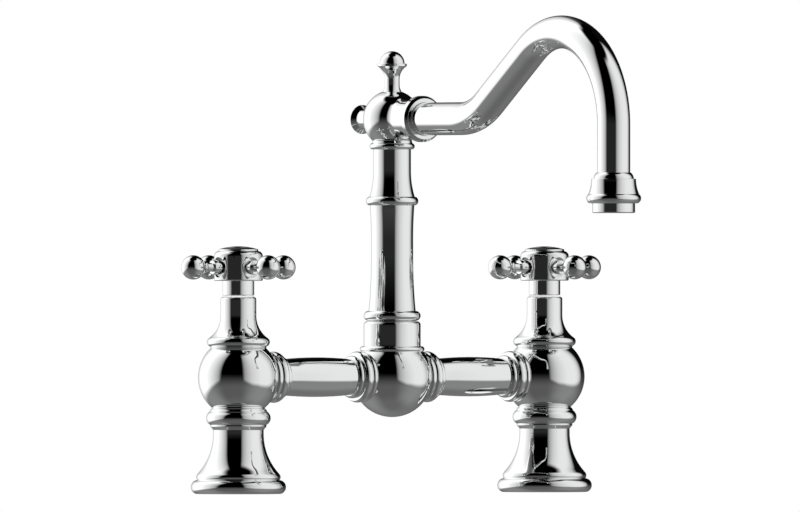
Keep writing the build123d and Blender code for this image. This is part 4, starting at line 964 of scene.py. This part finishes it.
def machined_finish(name, value, roughness, lines):
    """Turned bare metal: fine tool lines round the vertical axis, 0.5 + 0.5 sin(height x lines),
    stand as a shallow bump; it is as rough as roughness + 0.08 tool + 0.10 stain."""
    material, graph = finish_graph(name)
    place = graph.node("ShaderNodeTexCoord", output="Object")
    height = graph.node("ShaderNodeSeparateXYZ", {"Vector": place}, output="Z")
    tool = 0.5 + 0.5 * graph.maths("SINE", height * lines)
    stain = mottle(graph, scale=120.0, detail=4.0)
    bump = graph.node("ShaderNodeBump", {"Height": tool, "Strength": 0.15, "Distance": RELIEF})
    surface(graph, {
        "Base Color": tinted(graph, value, STAINED, stain),
        "Roughness": roughness + 0.08 * tool + 0.10 * stain,
        "Metallic": 1.0,
        "Normal": bump,
    })
    return material


def moulded_finish(name, value, roughness, grain, relief):
    """Moulded or lapped material: its colour is faintly clouded, and a very shallow grain stands
    as a bump and roughens it, as roughness + 0.10 grain."""
    material, graph = finish_graph(name)
    cloud, fine = mottle(graph, scale=grain / 8), mottle(graph, scale=grain, detail=3.0)
    bump = graph.node("ShaderNodeBump", {"Height": fine, "Strength": relief, "Distance": RELIEF})
    surface(graph, {
        "Base Color": tinted(graph, value, CLOUDED, cloud),
        "Roughness": roughness + 0.10 * fine,
        "Normal": bump,
    })
    return material


@lru_cache(maxsize=None)
def finish(slot):
    """The material of a slot of the record, made once."""
    settings = bpy.context.scene.faucet_finish
    if slot == CHROME:
        return chrome_finish(settings)
    maker, table = (machined_finish, MACHINED) if slot in MACHINED else (moulded_finish, MOULDED)
    tint, *rest = table[slot]
    return maker(slot, getattr(settings, tint), *rest)


# --- pieces -----------------------------------------------------------------------------------
class MakeFeet(bpy.types.Operator):
    """Turn the two bell-shaped feet"""

    bl_idname = "faucet.make_feet"
    bl_label = "Feet"
    bl_options = {"REGISTER", "UNDO"}

    def execute(self, context):
        """Up over flange, bead, bell and neck, then down the bore, the hollow and its recess."""
        scene = context.scene
        s, fits = scene.faucet_foot, scene.faucet_fits
        for side, _, _ in SIDES:
            node = f"{side}_foot"
            height = top_of(node)
            bead_top = s.flange_height + s.bead_height
            bore = fits.shank + fits.slip
            line = outline(
                bead(0, s.flange_height, s.flange_toe, s.flange_radius),
                bead(s.flange_height, bead_top, s.bead_root, s.bead_radius),
                arriving((s.bead_root, bead_top), (s.waist_radius, height - s.waist_length)),
                (s.waist_radius, height), (bore, height), (bore, height - s.web),
                *stair(s.cavity_height, s.cavity_radius, s.gasket_depth, s.gasket_radius, 0),
            )
            turn_piece(f"{side}_foot_bell", FIXED, node, line, (*axis_of(side), 0))
        return {"FINISHED"}


class MakeBalls(bpy.types.Operator):
    """Turn the beaded rings and the valve balls above the feet"""

    bl_idname = "faucet.make_balls"
    bl_label = "Rings and valve balls"
    bl_options = {"REGISTER", "UNDO"}

    def execute(self, context):
        """Ring: a taper, a small bead, a torus and an upper bead round a plain bore. Ball: a
        sphere cut flat above and below, with steps inside for cartridge, water and shank."""
        scene = context.scene
        s, fits = scene.faucet_ball, scene.faucet_fits
        for side, _, _ in SIDES:
            ring, ball = f"{side}_pillar_ring", f"{side}_valve_body"
            top = height_of(ring)
            torus_top = s.small_height + s.torus_height
            bore = fits.shank + fits.slip
            line = outline(
                (scene.faucet_foot.waist_radius, 0),
                bead(s.taper_height, s.small_height, s.taper_radius, s.small_radius, s.root_radius),
                bead(s.small_height, torus_top, s.root_radius, s.torus_radius, s.torus_root),
                bead(torus_top, top, s.torus_root, s.upper_radius, s.neck_radius),
                (bore, top), (bore, 0),
            )
            turn_piece(f"{side}_ring_beads", FIXED, ring, line, (*axis_of(side), foot_of(ring)))
            low, high = -on_ball(s.ball_radius, s.neck_radius), on_ball(s.ball_radius, s.top_radius)
            chamber, seat = high - s.chamber_depth, high - s.seat_depth
            socket, socket_top = fits.shank + fits.screwed, low + s.shank_depth
            line = outline(
                arc((s.neck_radius, low), (s.ball_radius, 0), (s.top_radius, high)),
                *stair(high, s.mouth_radius, chamber, s.chamber_radius, seat, s.water_way,
                       socket_top, socket, low),
            )
            turn_piece(f"{side}_valve_ball", FIXED, ball, line, (*axis_of(side), foot_of(ball) - low))
        return {"FINISHED"}


class MakeBonnets(bpy.types.Operator):
    """Turn the flared bonnets and the pale glide rings"""

    bl_idname = "faucet.make_bonnets"
    bl_label = "Bonnets and glide rings"
    bl_options = {"REGISTER", "UNDO"}

    def execute(self, context):
        """Bonnet: lip, bead, flare, neck and rounded edge, and inside the cartridge's bore.
        Glide ring: a washer on a spigot."""
        scene = context.scene
        s = scene.faucet_bonnet
        for side, _, _ in SIDES:
            bonnet, glide = f"{side}_bonnet", f"{side}_glide_ring"
            origin = (*axis_of(side), foot_of(bonnet))
            top, bead_top = height_of(bonnet), s.lip_height + s.bead_height
            line = outline(
                bead(0, s.lip_height, scene.faucet_ball.top_radius, s.lip_radius, s.lip_root),
                bead(s.lip_height, bead_top, s.lip_root, s.bead_radius, s.bead_root),
                arriving((s.bead_root, bead_top), (s.neck_radius, top - s.neck_length)),
                leaving((s.neck_radius, top - s.edge), (s.neck_radius - s.edge, top)),
                *stair(top, s.bore, s.skirt_height, s.skirt_bore, 0),
            )
            turn_piece(f"{side}_bonnet_flare", FIXED, bonnet, line, origin)
            spigot, deep = s.bore - scene.faucet_fits.screwed, foot_of(glide) - foot_of(bonnet)
            line = outline(*stair(deep, spigot, top, s.glide_radius, top + s.glide_height,
                                  s.glide_bore, deep))
            turn_piece(f"{side}_glide_washer", FIXED, glide, line, origin, slot=ACETAL)
        return {"FINISHED"}


class MakeHandles(bpy.types.Operator):
    """Turn the sleeves, pierced hubs, caps and cross arms of the two handles"""

    bl_idname = "faucet.make_handles"
    bl_label = "Cross handles"
    bl_options = {"REGISTER", "UNDO"}

    def execute(self, context):
        """Sleeve: a tube. Hub: a drum with a socket below, a recess above and a pocket for each
        arm. Arms: turned about level axes a quarter turn apart."""
        scene = context.scene
        s = scene.faucet_handle
        quarters = np.arange(4) * pi / 2
        pocket = ((s.seat_radius, s.seat_floor),
                  (s.stem_radius + scene.faucet_fits.screwed, s.seat_floor))
        for side, body, _ in SIDES:
            sleeve, hub = f"{side}_handle_sleeve", f"{side}_handle_hub"
            arms, cap = f"{side}_handle_arms", f"{side}_index_cap"
            x, y = axis_of(side)
            bottom = foot_of(hub)
            rise = bottom - foot_of(sleeve)
            bore = scene.faucet_bonnet.glide_bore
            line = outline(
                leaving((s.sleeve_radius - s.sleeve_edge, 0), (s.sleeve_radius, s.sleeve_edge), (1, 0)),
                (s.sleeve_radius, rise), (bore, rise), (bore, 0),
            )
            turn_piece(f"{side}_sleeve_tube", body, sleeve, line, (x, y, foot_of(sleeve)))
            seat = height_of(hub)
            line = outline(
                leaving((s.hub_radius - s.hub_bevel, 0), (s.hub_radius, s.hub_bevel), (1, 0)),
                bowed((s.hub_radius, seat - s.shoulder_height), (s.shoulder_radius, seat),
                      s.shoulder_bow),
                *stair(seat, s.recess_radius, seat - s.recess_depth, s.screw_head,
                       s.socket_depth + s.web, s.screw_hole, s.socket_depth, s.socket_radius, 0),
            )
            drum = pierced(line, (x, y, bottom), wall_of(line, s.hub_radius), quarters, pocket,
                           s.arm_height)
            add_piece(f"{side}_hub_drum", body, [drum], hub)
            line = self.cap_line(s, foot_of(cap) - bottom, seat)
            turn_piece(f"{side}_cap_disc", body, cap, line, (x, y, bottom))
            four = [turned(self.arm_line(s), (x, y, bottom + s.arm_height), (cos(a), sin(a), 0), UP,
                           FINE_AROUND) for a in quarters]
            add_piece(f"{side}_cross_arms", body, four, arms)
        return {"FINISHED"}

    @staticmethod
    def cap_line(s, low, seat):
        """Half outline of the index cap, from its spigot to the engraved ring and its middle."""
        inner = s.groove_radius - s.groove_width

        def on_dome(radius):
            """The point of the domed top at this radius."""
            return radius, seat + s.cap_height - s.cap_dome + on_ball(s.cap_dome, radius)

        groove = on_dome(inner)[1] - s.groove_depth
        return outline(
            (0, low), (s.cap_spigot, low), (s.cap_spigot, seat), (s.cap_foot, seat),
            (s.cap_radius, seat + s.cap_bevel),
            bowed(on_dome(s.cap_radius), on_dome(s.groove_radius), s.cap_dome),
            (s.groove_radius, groove), (inner, groove),
            bowed(on_dome(inner), on_dome(0), s.cap_dome),
        )

    @staticmethod
    def arm_line(s):
        """Half outline of one arm: stem, barrel bead, neck, thin ring and ball."""
        stem_root, bead_end = s.seat_floor - s.stem_length, s.seat_floor + s.bead_length
        ring_start = bead_end + s.neck_length
        ring_end = ring_start + s.ring_width
        ball = ring_end + on_ball(s.knob_radius, s.ring_root)
        return outline(
            (0, stem_root), (s.stem_radius, stem_root), (s.stem_radius, s.seat_floor),
            bead(s.seat_floor, bead_end, s.bead_root, s.bead_radius),
            (s.neck_radius, bead_end),
            bead(ring_start, ring_end, s.neck_radius, s.ring_radius, s.ring_root),
            arc((s.ring_root, ring_end), (s.knob_radius, ball), (0, ball + s.knob_radius)),
        )


class MakeBridge(bpy.types.Operator):
    """Turn the two bridge tubes and their four collars"""

    bl_idname = "faucet.make_bridge"
    bl_label = "Bridge tubes and collars"
    bl_options = {"REGISTER", "UNDO"}

    def execute(self, context):
        """Collar: two beads and a small ring on a foot hollowed like the ball. Tube: a straight
        bore in a wall that swells as an arc."""
        scene = context.scene
        s, fits, ball = scene.faucet_bridge, scene.faucet_fits, scene.faucet_ball
        seat, bore = ball.ball_radius + fits.screwed, s.tube_radius + fits.screwed
        first_start = on_ball(seat, s.big_root)
        big_start = first_start + s.first_width
        big_end = big_start + s.big_width
        small_start = big_end + s.step
        end = small_start + s.small_width
        middle_root = (bore + s.big_root) / 2
        height = foot_of("left_valve_body") + on_ball(ball.ball_radius, ball.neck_radius)
        collar = outline(
            arc((bore, on_ball(seat, bore)), (middle_root, on_ball(seat, middle_root)),
                (s.big_root, first_start)),
            bead(first_start, big_start, s.big_root, s.first_radius, s.groove_radius),
            bead(big_start, big_end, s.groove_radius, s.big_radius, s.big_root),
            arc((s.small_root, small_start), (s.small_radius, small_start + s.small_width / 3),
                (s.small_tip, end)),
            (bore, end),
        )
        span = abs(axis_of("left")[0])
        rings = [turned(collar, (x, 0, height), (toward, 0, 0), UP)
                 for x, toward in ((-span, 1), (0, -1), (0, 1), (span, -1))]
        add_piece("bridge_collar_rings", FIXED, rings, "bridge_collars")
        for side, _, inward in SIDES:
            node = f"{side}_bridge_arm"
            start, far = sorted(abs(corner[0]) for corner in box(node))
            line = outline(
                (s.tube_radius, start),
                arc((s.tube_radius, end), (s.tube_radius + s.swell, span / 2),
                    (s.tube_radius, span - end)),
                (s.tube_radius, far), (s.bore, far), (s.bore, start),
            )
            turn_piece(f"{side}_bridge_pipe", FIXED, node, line, (0, 0, height), (-inward, 0, 0), UP)
        return {"FINISHED"}


class MakeSocket(bpy.types.Operator):
    """Turn the centre ball with its bead, tall socket and lock-screw hole"""

    bl_idname = "faucet.make_socket"
    bl_label = "Centre ball and socket"
    bl_options = {"REGISTER", "UNDO"}

    def execute(self, context):
        """A sphere, the arc of a bead, the socket's wall and rounded rim, then down the swivel
        bore to the floor of the mixing space."""
        s, ball = context.scene.faucet_socket, context.scene.faucet_ball.ball_radius
        height = foot_of("centre_body") + ball
        top = top_of("centre_body") - height
        foot = on_ball(ball, s.bead_foot)
        bead_top = foot + s.bead_height
        line = outline(
            arc((0, -ball), (ball, 0), (s.bead_foot, foot)),
            arc((s.bead_foot, foot), (s.bead_radius, foot + s.bead_crest), (s.radius, bead_top)),
            leaving((s.radius, top - s.edge), (s.radius - s.edge, top)),
            *stair(top, s.bore, top - s.bore_depth, s.mixing_radius, -s.mixing_depth),
            (0, -s.mixing_depth),
        )
        lowest, highest = box("spout_lock_screw")
        part = pierced(line, (0, 0, height), wall_of(line, s.radius, bead_top), (pi / 2,),
                       ((s.screw_radius, s.bore + EDGE),), (lowest[2] + highest[2]) / 2 - height)
        add_piece("centre_ball_socket", FIXED, [part], "centre_body")
        return {"FINISHED"}


class MakeColumn(bpy.types.Operator):
    """Turn the lower column, its middle ring and the upper column"""

    bl_idname = "faucet.make_column"
    bl_label = "Spout column"
    bl_options = {"REGISTER", "UNDO"}

    def execute(self, context):
        """Lower: lip, bead and a waist between two curves. Middle: one bead. Upper: a curve to
        a straight waist, then a bead. All have the riser's bore."""
        s, bore = context.scene.faucet_column, context.scene.faucet_fits.riser_bore
        lip, top = s.lip_radius - s.lip_depth, height_of("lower_column")
        lower = outline(
            (lip, -s.lip_depth), (s.lip_radius, -s.lip_depth), (s.lip_radius, 0),
            bead(0, s.foot_height, s.foot_root, s.foot_ring),
            arriving((s.lower_foot, s.foot_height), (s.lower_waist, s.waist_start)),
            leaving((s.lower_waist, s.waist_end), (s.lower_head, top)),
            (bore, top), (bore, 0), (lip, 0),
        )
        top = height_of("mid_ring")
        ring = outline(bead(0, top, s.mid_root, s.mid_ring), (bore, top), (bore, 0))
        top = height_of("upper_column")
        ring_top = top - s.top_neck
        ring_low = ring_top - s.top_height
        upper = outline(
            arriving((s.upper_foot, 0), (s.upper_waist, s.upper_start)),
            (s.upper_waist, ring_low), bead(ring_low, ring_top, s.top_root, s.top_ring),
            (s.head_foot, top), (bore, top), (bore, 0),
        )
        for name, node, line in (
            ("column_lower_sleeve", "lower_column", lower),
            ("column_middle_ring", "mid_ring", ring),
            ("column_upper_sleeve", "upper_column", upper),
        ):
            turn_piece(name, SWIVEL, node, line, (0, 0, foot_of(node)))
        return {"FINISHED"}


class MakeHead(bpy.types.Operator):
    """Turn the ball head, the finial and the rear plug"""

    bl_idname = "faucet.make_head"
    bl_label = "Head, finial and plug"
    bl_options = {"REGISTER", "UNDO"}

    def execute(self, context):
        """Head: a sphere whose cove leads into the boss, cut flat above and below. Finial: a
        cove, a flared cup and a ball. Plug: a neck, a flare, a thin rim and a domed end."""
        scene = context.scene
        s, fits = scene.faucet_head, scene.faucet_fits
        foot, seat = foot_of("spout_head"), foot_of("finial") + s.stem_length
        height = foot + on_ball(s.radius, scene.faucet_column.head_foot)
        mouth = -box("spout_head")[0][1]
        socket = scene.faucet_spout.tube_radius + fits.screwed
        back = box("rear_plug")[0][1] + s.plug_stem
        spot = s.plug_seat + fits.screwed
        across = s.boss_radius + s.boss_cove
        cove = np.array((across, on_ball(s.radius + s.boss_cove, across)))
        leave = cove * s.radius / (s.radius + s.boss_cove)
        line = outline(
            (s.bore, -back), (spot, -back),
            arc((spot, -on_ball(s.radius, spot)), (s.radius, 0), leave),
            arriving(leave, (s.boss_radius, cove[1])),
            (s.boss_radius, mouth), (socket, mouth), (socket, s.socket_start),
            (s.bore, s.socket_start), edge=s.boss_edge,
        )
        points, quads, tris = turned(line, (0, 0, height), (0, -1, 0), UP)
        points[:, 2] = np.clip(points[:, 2], foot, seat)
        add_piece("spout_ball_head", SWIVEL, [(points, quads, tris)], "spout_head")
        neck_end = s.cove_height + s.neck_length
        rim_low = neck_end + s.cup_height
        rim_top = rim_low + s.rim_height
        slant = s.ball_radius * sin(pi / 4)
        line = outline(
            (0, -s.stem_length), (s.stem_radius, -s.stem_length), (s.stem_radius, 0),
            arriving((s.finial_foot, 0), (s.finial_neck, s.cove_height)),
            leaving((s.finial_neck, neck_end), (s.rim_radius, rim_low)),
            (s.rim_radius, rim_top),
            arc((s.ball_radius, rim_top), (slant, rim_top + slant), (0, rim_top + s.ball_radius)),
        )
        turn_piece("finial_knob", SWIVEL, "finial", line, (0, 0, seat))
        end = back + s.plug_length
        rim_back = end - s.plug_crown
        rim_front = rim_back - s.plug_rim
        dome = (s.plug_radius**2 + s.plug_crown**2) / (2 * s.plug_crown)
        stem, stem_end = s.bore - fits.screwed, back - s.plug_stem
        line = outline(
            (0, stem_end), (stem, stem_end), (stem, back), (s.plug_neck, back),
            (s.plug_neck, rim_front - s.plug_flare), (s.plug_radius, rim_front),
            bowed((s.plug_radius, rim_back), (0, end), dome),
        )
        turn_piece("rear_plug_knob", SWIVEL, "rear_plug", line, (0, 0, height), BACK, UP)
        return {"FINISHED"}


class MakeSpout(bpy.types.Operator):
    """Bend the crook-shaped spout tube and turn its collar"""

    bl_idname = "faucet.make_spout"
    bl_label = "Spout tube and collar"
    bl_options = {"REGISTER", "UNDO"}

    def execute(self, context):
        """Pipe: a level run, a slope and a drop, joined by two bends. Collar: a ring with both
        outer edges bevelled."""
        scene = context.scene
        s, head = scene.faucet_spout, scene.faucet_head
        height = foot_of("spout_head") + on_ball(head.radius, scene.faucet_column.head_foot)
        rise = (s.reach - s.elbow_reach) * tan(s.slope)
        path, headings = bent_path(
            ((head.socket_start, height), (s.elbow_reach, height), (s.reach, height + rise),
             (s.reach, foot_of("spout_tube"))),
            (s.elbow_bend, s.crown_bend),
        )
        tube = pipe(path, headings, s.tube_radius, s.tube_radius - s.wall)
        add_piece("spout_crook_pipe", SWIVEL, [tube], "spout_tube")
        back = -box("spout_collar")[1][1]
        face = back + s.collar_thickness
        bore = s.tube_radius + scene.faucet_fits.screwed
        line = outline(
            (bore, back), (s.collar_radius - s.collar_bevel, back),
            (s.collar_radius, back + s.collar_bevel), (s.collar_radius, face - s.bevel_length),
            (s.bevel_radius, face), (bore + s.collar_mouth, face), (bore, face - s.collar_mouth),
        )
        turn_piece("spout_collar_ring", SWIVEL, "spout_collar", line, (0, 0, height), (0, -1, 0), UP)
        return {"FINISHED"}


class MakeOutlet(bpy.types.Operator):
    """Turn the nozzle collar and the shell of the aerator"""

    bl_idname = "faucet.make_outlet"
    bl_label = "Outlet and aerator shell"
    bl_options = {"REGISTER", "UNDO"}

    def execute(self, context):
        """Collar: a bead, a flare, a step and an ogee, stepped inside for tube, water and
        thread. Shell: a bevelled ring with the thread's neck above and a lip inside."""
        scene = context.scene
        s, fits, spout = scene.faucet_outlet, scene.faucet_fits, scene.faucet_spout
        rim, top = foot_of("outlet_collar"), height_of("outlet_collar")
        origin = (0, -spout.reach, rim)
        tube, lip = spout.tube_radius + fits.screwed, spout.tube_radius + fits.slip
        thread, bore = s.thread_radius + fits.screwed, spout.tube_radius - spout.wall
        washer_top = s.thread_length + s.washer
        line = outline(
            arc((s.rim_radius, 0), (s.bead_radius, s.bead_rise), (s.flare_radius, s.flare_rise)),
            arriving((s.flare_radius, s.flare_rise), (s.step_radius, s.step_rise)),
            leaving((s.ogee_radius, s.step_rise), (lip, top)),
            *stair(top, tube, washer_top + s.shoulder, bore, washer_top, thread, 0),
        )
        turn_piece("nozzle_bell", SWIVEL, "outlet_collar", line, origin)
        low = foot_of("aerator_housing") - rim
        inner = s.thread_radius - s.shell_wall
        mouth, lip_top = inner - s.lip_width, low + s.lip
        line = outline(
            (mouth, low), (s.shell_radius - s.shell_edge, low),
            *stair(low + s.shell_edge, s.shell_radius, 0, s.thread_radius, s.thread_length, inner,
                   lip_top),
            (mouth, lip_top),
        )
        turn_piece("aerator_shell", SWIVEL, "aerator_housing", line, origin)
        return {"FINISHED"}


class MakeFastening(bpy.types.Operator):
    """Cut the threaded shanks, and make the gaskets, washers and nuts below the worktop"""

    bl_idname = "faucet.make_fastening"
    bl_label = "Shanks, gaskets, washers and nuts"
    bl_options = {"REGISTER", "UNDO"}

    def execute(self, context):
        """Gaskets and washers: plain rings. Nuts: rings cut to a hexagon, their corners turned
        down by 30 degree cones. Heights and outer sizes come from their CAD nodes."""
        s, fits = context.scene.faucet_fastening, context.scene.faucet_fits
        made = [self.shank(s, fits.shank, side) for side, _, _ in SIDES]
        centres = [axis_of(side) for side, _, _ in SIDES]
        ring_bore = fits.shank + fits.slip
        for node, name, slot, bore in (
            ("deck_gaskets", "gasket_rings", RUBBER, s.gasket_bore),
            ("under_deck_washers", "rubber_washer_rings", RUBBER, ring_bore),
            ("clamp_washers", "steel_washer_rings", STAINLESS, ring_bore),
        ):
            lowest, highest = box(node)
            radius = (highest[1] - lowest[1]) / 2
            line = outline((bore, lowest[2]), (radius, lowest[2]), (radius, highest[2]),
                           (bore, highest[2]), edge=WASHER_EDGE)
            rings = [turned(line, (*centre, 0)) for centre in centres]
            made.append(add_piece(name, FIXED, rings, node, slot=slot))
        lowest, highest = box("back_nuts")
        deep, width = highest[1] - lowest[1], highest[0] - lowest[0] - 2 * abs(centres[0][0])
        flat = min(deep, width) / 2
        wide, turned_up = flat / cos(pi / 6), width > 2 * flat + NUT_ODDS
        bore, down = fits.shank + fits.screwed, s.nut_chamfer * tan(pi / 6)
        slope = np.linspace(0, 1, CONE_STEPS + 1)[:, None]
        low_cone = np.array((wide - s.nut_chamfer, lowest[2])) + slope * (s.nut_chamfer, down)
        high_cone = np.array((wide, highest[2] - down)) + slope * (-s.nut_chamfer, down)
        line = np.vstack(((bore, lowest[2]), low_cone, high_cone, (bore, highest[2])))

        def hexagon(r, h, t):
            """The nut's flats: r no more than flat / cos(angle to the nearest flat)."""
            from_flat = (t + (pi / 6 if turned_up else 0)) % (pi / 3) - pi / 6
            return np.minimum(r, flat / np.cos(from_flat + 0 * r))

        nuts = [turned(line, (*centre, 0), shape=hexagon) for centre in centres]
        made.append(add_piece("hex_back_nuts", FIXED, nuts, "back_nuts", slot=BRASS))
        for piece in made:
            piece.visible_glossy = False    # what is below the worktop isn't mirrored above it
        return {"FINISHED"}

    @staticmethod
    def shank(s, radius, side):
        """One shank: a tube whose outer wall is cut by the helix depth (1 - cos(2 pi h / pitch - t)) / 2,
        run out at both ends of each threaded stretch."""
        node = f"{side}_shank"
        foot, top = foot_of(node), top_of(node)
        groove = foot + s.inlet_length
        groove_top = groove + s.groove_width
        rows = round((-s.bare_top - foot) / (s.pitch / PITCH_ROWS))
        threaded = np.linspace(foot + s.chamfer, -s.bare_top, rows)
        beside = (threaded > groove) & (threaded < groove_top)
        wall = np.stack((np.where(beside, radius - s.groove_depth, radius), threaded), 1)
        line = np.vstack((
            (s.bore, foot), (radius - s.chamfer, foot), wall, (radius, top - s.chamfer),
            (radius - s.chamfer, top), (s.bore, top),
        ))

        def fade(h, start, end):
            """Nought at start and end of a threaded stretch, one from a pitch inside."""
            return np.clip((h - start) / s.pitch, 0, 1) * np.clip((end - h) / s.pitch, 0, 1)

        def thread(r, h, t):
            """The helix, faded in and out over one pitch beside the ends and the groove."""
            depth = s.depth * (fade(h, foot + s.chamfer - s.pitch / 2, groove - s.pitch / 2)
                               + fade(h, groove_top, -s.bare_top))
            cut = depth / 2 * (1 - np.cos(2 * pi * h / s.pitch - t))
            return np.where(np.abs(r - radius) < SAME, r - cut, r)

        return turn_piece(f"{side}_threaded_shank", FIXED, node, line, (*axis_of(side), 0),
                          around=SHANK_AROUND, shape=thread, slot=BRASS)


class DressInnerParts(bpy.types.Operator):
    """Give every CAD node that is still shown its finish"""

    bl_idname = "faucet.dress_inner_parts"
    bl_label = "Finishes of the inner parts"
    bl_options = {"REGISTER", "UNDO"}

    def execute(self, context):
        """Each node takes the finish of its slot in the record."""
        slots = {row["node"]: row["material_slot"] for row in frame["record"]["subparts"]}
        for name, node in frame["nodes"].items():
            if node.hide_render:
                continue
            node.data.materials.clear()
            node.data.materials.append(finish(slots[name]))
        return {"FINISHED"}


# --- stage ------------------------------------------------------------------------------------
class MakeStage(bpy.types.Operator):
    """Lay the pale floor, hang the studio surroundings and place the camera"""

    bl_idname = "faucet.make_stage"
    bl_label = "Stage, light and camera"
    bl_options = {"REGISTER", "UNDO"}

    def execute(self, context):
        """Floor, surroundings and camera, shown without a film look."""
        scene = context.scene
        s = scene.faucet_studio
        self.floor(scene, s)
        self.surroundings(scene, s)
        self.camera(scene, s)
        scene.view_settings.view_transform = "Standard"
        return {"FINISHED"}

    @staticmethod
    def floor(scene, s):
        """A flat pale floor in the worktop plane: (u, v, 0) for u and v from -half to half."""
        half = s.floor_half
        points = np.array(((-half, -half, 0), (half, -half, 0), (half, half, 0), (-half, half, 0)))
        mesh = bpy.data.meshes.new("floor")
        mesh.from_pydata(points.tolist(), [], [(0, 1, 2, 3)])
        floor = bpy.data.objects.new("floor", mesh)
        scene.collection.objects.link(floor)
        material, graph = finish_graph("pale_floor")
        glow = graph.node("ShaderNodeEmission", {"Strength": s.backdrop})
        graph.node("ShaderNodeOutputMaterial", {"Surface": glow}, output=None)
        mesh.materials.append(material)
        floor.visible_glossy = floor.visible_diffuse = False
        floor.visible_shadow = floor.visible_transmission = False

    @staticmethod
    def surroundings(scene, s):
        """World light. From the faucet, azimuth runs round the camera's direction and
        elevation above the worktop. Two tall soft panels stand on either side of a black
        gap, the floor is grey, the zenith dark; the camera itself sees a plain white
        backdrop."""
        world = bpy.data.worlds.new("studio")
        scene.world = world
        world.use_nodes = True
        graph = Graph(world.node_tree)
        way = graph.node("ShaderNodeTexCoord", output="Generated")
        x, y, z = (graph.node("ShaderNodeSeparateXYZ", {"Vector": way}, output=axis) for axis in "XYZ")
        a = s.azimuth + radians(GAP_AZIMUTH)
        ahead, right = x * sin(a) - y * cos(a), x * cos(a) + y * sin(a)
        round_about = graph.maths("ARCTAN2", right, ahead) * (180 / pi)
        away = graph.maths("ABSOLUTE", round_about)
        rise = graph.maths("ARCSINE", z) * (180 / pi)
        right_panel, left_panel, ground = (
            graph.node("ShaderNodeValToRGB", {"Fac": away / 180.0}, stops=stops)
            for stops in (RIGHT_PANEL, LEFT_PANEL, GROUND)
        )
        on_right = graph.between(round_about, -GAP_BLEND, GAP_BLEND)
        panel = right_panel * on_right + left_panel * (1 - on_right)
        low = -PANEL_DEPTH * graph.maths("COSINE", (away - PANEL_MIDDLE) * radians(PANEL_CURVE))
        low = low + on_right * graph.between(away, *RIGHT_LIFT)
        tall = RIGHT_TOP * on_right + graph.between(away, *LEFT_TOP) * (1 - on_right)
        low_soft, tall_soft = PANEL_SOFT
        lit = graph.between(rise - low, -low_soft, low_soft)
        lit = lit * (1 - graph.between(rise - tall, -tall_soft, tall_soft))
        below = graph.between(rise, *NADIR_BAND)
        ground = ground * below + NADIR * (1 - below)
        floor = ground * graph.between(rise, *HORIZON_BAND, 1.0, 0.0)
        light = floor * (1 - lit) + lit * graph.maths("MAXIMUM", panel, floor)
        camera, diffuse = (graph.node("ShaderNodeLightPath", output=f"Is {kind} Ray")
                           for kind in ("Camera", "Diffuse"))
        light = light * (1 - diffuse) + s.softness * diffuse
        strength = light * (1 - camera) + s.backdrop * camera
        glow = graph.node("ShaderNodeBackground", {"Color": (1, 1, 1, 1), "Strength": strength})
        graph.node("ShaderNodeOutputWorld", {"Surface": glow}, output=None)

    @staticmethod
    def camera(scene, s):
        """The camera stands level, far off, at the azimuth; its distance is frame width x
        lens / sensor."""
        data = bpy.data.cameras.new("camera")
        camera = bpy.data.objects.new("camera", data)
        scene.collection.objects.link(camera)
        back = Vector((sin(s.azimuth), -cos(s.azimuth), 0))
        right = Vector((cos(s.azimuth), sin(s.azimuth), 0))
        distance = s.frame_width * s.lens / data.sensor_width
        aim = right * s.aim_right + Vector((0, 0, s.aim_height))
        data.lens = s.lens
        data.clip_end = 3 * distance    # beyond the far corners of the floor
        camera.location = aim + back * distance
        camera.rotation_mode = "QUATERNION"
        camera.rotation_quaternion = (-back).to_track_quat("-Z", "Y")
        scene.camera = camera


OPERATORS = (MakeFeet, MakeBalls, MakeBonnets, MakeHandles, MakeBridge, MakeSocket, MakeColumn,
             MakeHead, MakeSpout, MakeOutlet, MakeFastening, DressInnerParts, MakeStage)


class FaucetPanel(bpy.types.Panel):
    """Lists the operators and their sizes"""

    bl_idname = "VIEW3D_PT_faucet"
    bl_label = "Bridge kitchen faucet"
    bl_space_type = "VIEW_3D"
    bl_region_type = "UI"
    bl_category = "Faucet"

    def draw(self, context):
        """A button for each operator, then a box for each group of settings."""
        for operator in OPERATORS:
            self.layout.operator(operator.bl_idname)
        for name, group in GROUPS.items():
            box_layout = self.layout.box()
            box_layout.label(text=group.__doc__)
            for size in group.__annotations__:
                box_layout.prop(getattr(context.scene, name), size)


def register():
    """Registers the classes and hangs the settings on the scene."""
    for name, group in GROUPS.items():
        bpy.utils.register_class(group)
        setattr(bpy.types.Scene, name, PointerProperty(type=group))
    for operator in (*OPERATORS, FaucetPanel):
        bpy.utils.register_class(operator)


def unregister():
    """Takes everything off again."""
    for operator in (FaucetPanel, *reversed(OPERATORS)):
        bpy.utils.unregister_class(operator)
    for name, group in reversed(GROUPS.items()):
        delattr(bpy.types.Scene, name)
        bpy.utils.unregister_class(group)


def main():
    """Makes the whole faucet on its stage."""
    register()
    for operator in OPERATORS:
        area, action = operator.bl_idname.split(".")
        getattr(getattr(bpy.ops, area), action)()


if __name__ == "__main__":
    main()
